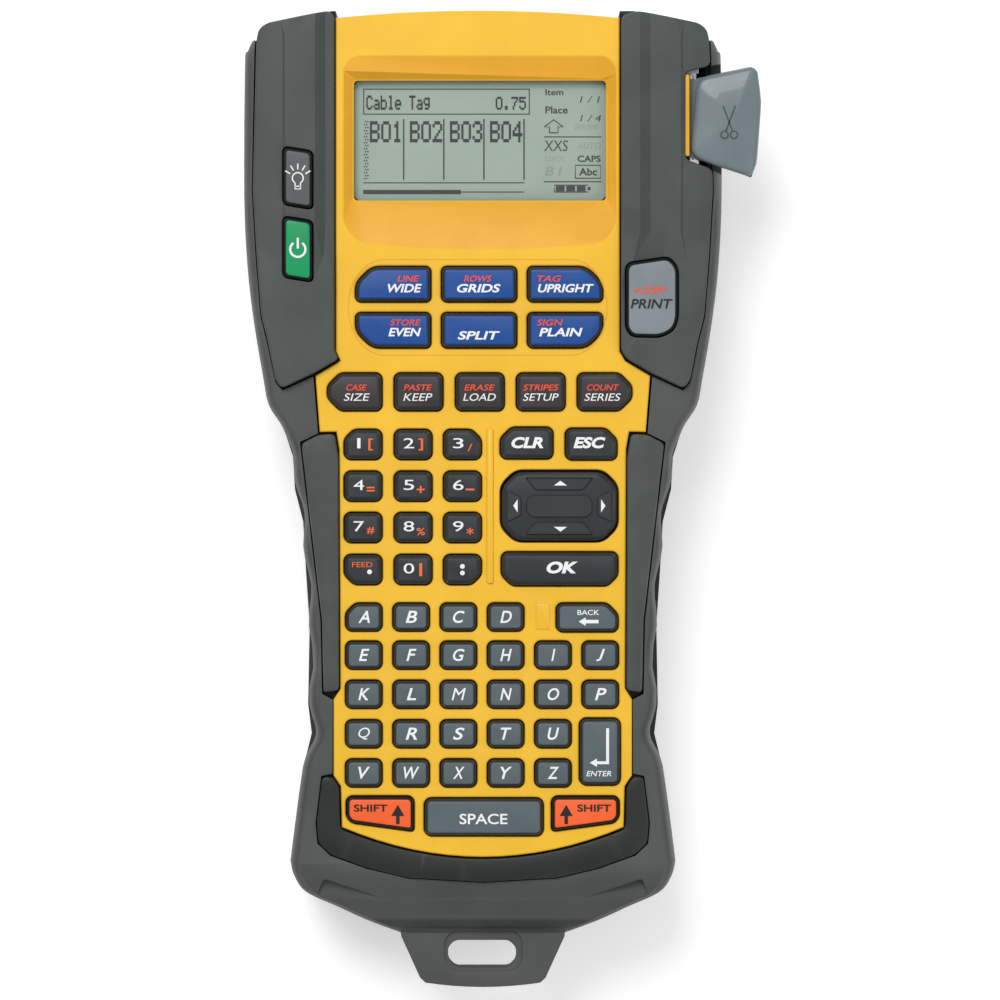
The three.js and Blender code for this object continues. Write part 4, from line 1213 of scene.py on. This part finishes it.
letters_white = Ink("letters_white", PAINT_WHITE, "housing", "key_grey")
WIDTHS = {"I": 1.1, "J": 2.4, "M": 3.9, "W": 4.3, "E": 2.9, "F": 2.8, "L": 2.6, "T": 3.0}
for letter, (x, y) in LETTERS.items():
    bold = 0.0 if letter in "MQ" else 0.014
    letters_white.text(letter, x + 0.1, y + 0.1, WIDTHS.get(letter, 3.2), 3.35, MAT_KEY_TOP, 0.25, bold)
letters_white.done()

NUMBER_LEGENDS = ["1[", "2]", "3/", "4=", "5+", "6-", "7#", "8%", "9*", ".", "0|", ":"]
# Width, height and rise of each sign.
SIGN_SIZES = {
    "[": (1.3, 3.3, 0.0), "]": (1.3, 3.3, 0.0), "/": (1.4, 2.1, -0.8), "=": (2.2, 1.3, -0.8),
    "+": (2.2, 2.0, -0.9), "-": (2.4, 0.5, -0.9), "#": (2.1, 2.0, -0.8), "%": (2.3, 2.0, -1.1),
    "*": (1.9, 1.9, -1.0), "|": (0.8, 3.6, 0.0),
}
digits_white = Ink("digits_white", PAINT_WHITE, "housing", "key_dark")
signs_orange = Ink("signs_orange", PAINT_ORANGE, "housing", "key_dark")
for (x, y), legend in zip(NUMBER_KEYS, NUMBER_LEGENDS):
    z = MAT_KEY_TOP
    if legend[0].isdigit():
        digits_white.text(legend[0], x - 1.15, y + 0.35, 0.9 if legend[0] == "1" else 2.9, 2.8, z, 0, 0)
        width, height, rise = SIGN_SIZES[legend[1]]
        signs_orange.text(legend[1], x + 2.1, y + rise, width, height, z, 0.1 if legend[1] == "/" else 0)
    if legend == ".":
        signs_orange.text("FEED", x - 0.2, y + 1.4, 5.6, 1.4, z, 0, 0)
        digits_white.shape(circle(x + 1.8, y - 0.6, 0.65), z)
    if legend == ":":
        digits_white.shape(circle(x, y + 0.9, 0.65), z)
        digits_white.shape(circle(x, y - 0.9, 0.65), z)
digits_white.done()
signs_orange.done()

WORD_KEYS = [
    ("clear_key", "CLR", 12.3, 15.8, 8.8, 3.1, 0.22, 0.04),
    ("escape_key", "ESC", 29.4, 15.8, 8.8, 3.1, 0.22, 0.04),
    ("ok_key", "OK", 21.9, -18.6, 8.6, 3.3, 0.22, 0.045),
    ("space_key", "SPACE", 0.2, -87.9, 13.2, 2.9, 0, 0.012),
]
for name, words, x, y, width, height, shear, bold in WORD_KEYS:
    word(f"{name}_word", PAINT_WHITE, name, words, x, y, width, height, KEYS[name].top_z, shear, bold)

back_ink = Ink("backspace_mark", PAINT_WHITE, "backspace_key", "key_grey")
back_ink.text("BACK", 29.1, -31.0, 6.0, 1.4, SINGLE_TOP, 0, 0.01)
back_ink.arrow((31.9, -33.5), (26.4, -33.5), 0.95, 2.3, SINGLE_TOP)
back_ink.done()

enter_ink = Ink("enter_mark", PAINT_WHITE, "enter_key", "key_grey")
enter_ink.bar(34.0, -62.9, 34.8, -72.0, SINGLE_TOP)
enter_ink.arrow((34.8, -72.4), (29.5, -72.4), 0.8, 2.3, SINGLE_TOP)
enter_ink.text("ENTER", 32.0, -75.4, 6.9, 1.45, SINGLE_TOP, 0.2, 0.01)
enter_ink.done()

for name, word_x, arrow_x in (("shift_key_left", -30.9, -23.4), ("shift_key_right", 30.7, 23.0)):
    shift_ink = Ink(f"{name}_mark", PAINT_BLACK, name, "key_orange")
    shift_ink.text("SHIFT", word_x, -84.9, 9.3, 2.0, SINGLE_TOP, 0, 0.02)
    shift_ink.arrow((arrow_x, -89.3), (arrow_x, -84.0), 0.95, 3.6, SINGLE_TOP)
    shift_ink.done()

nav_ink = Ink("nav_arrows", PAINT_WHITE, "nav_pad", "key_dark", 0.06)
for pointer in (
    [(19.6, 4.0), (23.2, 4.0), (21.4, 5.3)], [(19.6, -7.4), (21.4, -8.7), (23.2, -7.4)],
    [(9.6, -3.4), (9.6, 0.2), (8.4, -1.6)], [(32.6, -3.4), (33.8, -1.6), (32.6, 0.2)],
):
    nav_ink.shape(pointer, NAV_TOP)
nav_ink.done()

word("print_button_red", PAINT_RED, "print_button", "+COPY", 46.4, 57.7, 9.4, 1.9, SIDE_TOP, 0.2, 0.02)
word("print_button_black", PAINT_BLACK, "print_button", "PRINT", 46.5, 54.0, 11.6, 2.6, SIDE_TOP, 0.2, 0.015)

light_ink = Ink("light_icon", PAINT_WHITE, "light_button", "button_charcoal")
light_ink.stroke(arc(-50.9, 88.6, 1.5, -60, 240), 0.35, SIDE_TOP)
light_ink.stroke([(-51.65, 87.3), (-51.65, 85.6), (-50.15, 85.6), (-50.15, 87.3)], 0.35, SIDE_TOP)
light_ink.bar(-51.7, 86.2, -50.1, 86.5, SIDE_TOP)
for angle in (30, 60, 90, 120, 150):
    ray = [arc(-50.9, 88.6, radius, angle, angle, 1)[0] for radius in (2.4, 4.0)]
    light_ink.stroke(ray, 0.35, SIDE_TOP)
light_ink.done()

power_ink = Ink("power_icon", PAINT_WHITE, "power_button", "button_green")
power_ink.stroke(arc(-50.9, 69.0, 2.1, 125, 415), 0.6, SIDE_TOP)
power_ink.bar(-51.2, 69.2, -50.6, 72.2, SIDE_TOP)
power_ink.done()


def raised_loop():
    """The fine moulded line round the hot keys, with elliptical ends, in the darker yellow as painted shade
    along the ridge.
    """
    loop = Ink("hot_key_loop", YELLOW_PAINTED_SHADE, "housing", "bezel_yellow", 0.08)
    line = []
    for cx, start in ((24.3, -90), (-27.1, 90)):
        for k in range(25):
            angle = math.radians(start + 180 * k / 24)
            line.append((cx + 10.0 * math.cos(angle), 53.15 + 13.2 * math.sin(angle)))
    loop.stroke(line + line[:1], 0.3, FACE_Z)
    loop.done()


raised_loop()

# The coloured strip between the right panel and the lever, in the darker yellow as painted shade in the
# narrow gap.
guard = Solid()
guard_line = rounded(rectangle(55.75, 94.8, 57.0, 117.4), 0.5)
guard.raised(guard_line, [(0, 48.9), (0, 51.0), (0.12, 51.25), (0.35, 51.35)])
piece("lever_guard", guard, [YELLOW_PAINTED_SHADE], "housing")


# ---------------------------------------------------------------- what the display shows
# A plain five by seven dot alphabet: one number for each row, from the top, with a bit for each dot.
GLYPHS = {
    "C": (14, 17, 16, 16, 16, 17, 14), "a": (0, 0, 14, 1, 15, 17, 15), "b": (16, 16, 30, 17, 17, 17, 30),
    "l": (12, 4, 4, 4, 4, 4, 14), "e": (0, 0, 14, 17, 31, 16, 14), "T": (31, 4, 4, 4, 4, 4, 4),
    "g": (0, 15, 17, 17, 15, 1, 14), "B": (30, 17, 17, 30, 17, 17, 30), "0": (14, 17, 17, 17, 17, 17, 14),
    "1": (4, 12, 4, 4, 4, 4, 14), "2": (14, 17, 1, 2, 4, 8, 31), "3": (14, 17, 1, 6, 1, 17, 14),
    "4": (2, 6, 10, 18, 31, 2, 2), "5": (31, 16, 30, 1, 1, 17, 14), "7": (31, 1, 2, 4, 4, 8, 8),
    ".": (0, 0, 0, 0, 0, 12, 12), " ": (0, 0, 0, 0, 0, 0, 0), "/": (1, 1, 2, 4, 8, 16, 16),
}
DOT_SPREAD = 0.06


def dots(ink, words, x, y, dot_x, dot_y):
    """Display text from the lower left, one small square for each dot of a five by seven grid."""
    for place, letter in enumerate(words):
        for row, bits in enumerate(GLYPHS[letter]):
            for column in range(5):
                if bits >> (4 - column) & 1:
                    x0 = x + (place * 6 + column) * dot_x
                    y0 = y + (6 - row) * dot_y
                    x1, y1 = x0 + dot_x + DOT_SPREAD, y0 + dot_y + DOT_SPREAD
                    ink.bar(x0 - DOT_SPREAD, y0 - DOT_SPREAD, x1, y1, LCD_Z)


lcd_ink = Ink("display_ink", LCD_INK, "housing", "lcd_grey_green", 0.06)
LINE = 0.4
for x0, y0, x1, y1 in ((-33.1, 113.8, 13.0, 113.5), (-33.1, 106.9, 13.0, 106.6), (-33.1, 106.6, -32.8, 113.8),
                       (12.7, 106.6, 13.0, 113.8), (-33.1, 87.6, 11.6, 87.9), (-33.1, 84.6, -6.1, 85.8),
                       (-6.1, 85.05, 11.4, 85.35), (16.9, 100.3, 32.8, 100.6), (16.9, 87.9, 32.8, 88.2)):
    lcd_ink.bar(x0, y0, x1, y1, LCD_Z)
for x in (-22.1, -11.0, 0.1, 11.2):
    lcd_ink.bar(x, 88.6, x + LINE, 105.4, LCD_Z)
for row in range(20):
    for column in range(2):
        x = -32.9 + 0.62 * column + 0.31 * (row % 2)
        y = 88.7 + 0.83 * row
        lcd_ink.bar(x, y, x + 0.36, y + 0.42, LCD_Z)
dots(lcd_ink, "Cable Tag", -32.2, 108.0, 0.33, 0.55)
dots(lcd_ink, "0.75", 3.6, 108.0, 0.36, 0.5)
for column, words in enumerate(("B01", "B02", "B03", "B04")):
    dots(lcd_ink, words, -31.2 + 11.08 * column, 99.0, 0.52, 0.82)
for words, x, y, width, height, shear, bold in (
    ("Item", 19.8, 112.8, 5.0, 1.7, 0, 0.02),
    ("1 / 1", 29.6, 110.8, 5.6, 1.8, 0.2, 0),
    ("Place", 20.4, 107.9, 6.2, 2.0, 0, 0.02),
    ("1 / 4", 29.8, 105.6, 5.8, 1.8, 0.2, 0),
    ("XXS", 20.2, 98.0, 6.6, 3.0, 0.1, 0),
    ("CAPS", 29.4, 94.4, 6.4, 1.8, 0, 0.025),
    ("Abc", 29.1, 90.8, 5.0, 2.1, 0, 0.025),
):
    lcd_ink.text(words, x, y, width, height, LCD_Z, shear, bold)
up_arrow = [
    (18.4, 101.6), (18.4, 103.2), (17.0, 103.2), (19.6, 105.2),
    (22.2, 103.2), (20.8, 103.2), (20.8, 101.6),
]
lcd_ink.stroke(up_arrow + up_arrow[:1], 0.35, LCD_Z)
for x0, y0, x1, y1 in ((25.6, 89.0, 32.6, 92.6), (19.8, 85.2, 29.0, 87.1)):
    lcd_ink.stroke([(x0, y0), (x0, y1), (x1, y1), (x1, y0), (x0, y0)], 0.3, LCD_Z)
for x in (20.2, 23.1, 26.0):
    lcd_ink.bar(x, 85.4, x + 2.4, 86.9, LCD_Z)
lcd_ink.bar(29.1, 85.7, 29.8, 86.6, LCD_Z)
lcd_ink.done()

lcd_faint = Ink("display_ghosts", LCD_FAINT, "housing", "lcd_grey_green", 0.03)
lcd_faint.text("AUTO", 29.4, 98.0, 6.4, 1.8, LCD_Z, 0.2, 0)
lcd_faint.text("B I", 19.6, 91.0, 4.8, 2.6, LCD_Z, 0.2, 0.02)
lcd_faint.text("LOCK", 20.0, 94.4, 5.4, 1.4, LCD_Z, 0, 0)
lcd_faint.text("88/88", 28.6, 103.2, 6.4, 1.6, LCD_Z, 0.2, 0)
lcd_faint.done()

# A scissors mark on the lever: two blades and two finger rings.
scissors = Ink("scissors_mark", MARK_GREY, "cutter_lever", "lever_grey", 0.1)
MARK_Z = 52.46
scissors.stroke([(66.2, 108.6), (68.8, 101.6)], 0.4, MARK_Z)
scissors.stroke([(69.6, 108.6), (67.0, 101.6)], 0.4, MARK_Z)
for ring_x in (66.6, 69.2):
    scissors.stroke(arc(ring_x, 100.6, 1.0, 0, 360, 24), 0.35, MARK_Z)
scissors.done()


# ---------------------------------------------------------------- room, light and camera
def area_light(name, place, aim, size, power):
    data = bpy.data.lights.new(name, "AREA")
    data.shape = "DISK"
    data.size = size
    data.energy = power
    light = bpy.data.objects.new(name, data)
    light.location = place
    light.rotation_euler = (Vector(aim) - Vector(place)).to_track_quat("-Z", "Y").to_euler()
    bpy.context.scene.collection.objects.link(light)
    return light


def floor():
    material = bpy.data.materials.new("studio_floor")
    material.use_nodes = True
    shader = material.node_tree.nodes["Principled BSDF"]
    shader.inputs["Base Color"].default_value = (0.93, 0.93, 0.93, 1)
    shader.inputs["Roughness"].default_value = 0.9
    shader.inputs["Emission Color"].default_value = (1, 1, 1, 1)
    shader.inputs["Emission Strength"].default_value = 0.36
    data = bpy.data.meshes.new("studio_floor")
    reach = 6
    corners = [(x, y, 0) for x, y in rectangle(-reach, -reach, reach, reach)]
    data.from_pydata(corners, [], [(0, 1, 2, 3)])
    data.materials.append(material)
    obj = bpy.data.objects.new("studio_floor", data)
    obj.location.z = -0.0005
    bpy.context.scene.collection.objects.link(obj)


floor()
scene = bpy.context.scene
world = bpy.data.worlds.new("studio")
world.use_nodes = True
world.node_tree.nodes["Background"].inputs["Color"].default_value = (1, 1, 1, 1)
world.node_tree.nodes["Background"].inputs["Strength"].default_value = 0.42
scene.world = world
area_light("key_light", (-0.35, 0.75, 1.5), (0, 0, 0), 0.9, 17)
area_light("fill_light", (0.9, -0.5, 1.2), (0, 0, 0), 1.2, 5)
scene.view_settings.view_transform = "Standard"

CAMERA_HEIGHT = 2.05
FRAME_WIDTH = 0.2758
AIM_RIGHT = 4.75
camera_data = bpy.data.cameras.new("camera")
camera_data.sensor_width = 36
camera_data.lens = 36 * (CAMERA_HEIGHT - FACE_Z * MM) / FRAME_WIDTH
camera = bpy.data.objects.new("camera", camera_data)
camera.location = (CENTRE_X + AIM_RIGHT * MM, CENTRE_Y, CAMERA_HEIGHT)
scene.collection.objects.link(camera)
scene.camera = camera
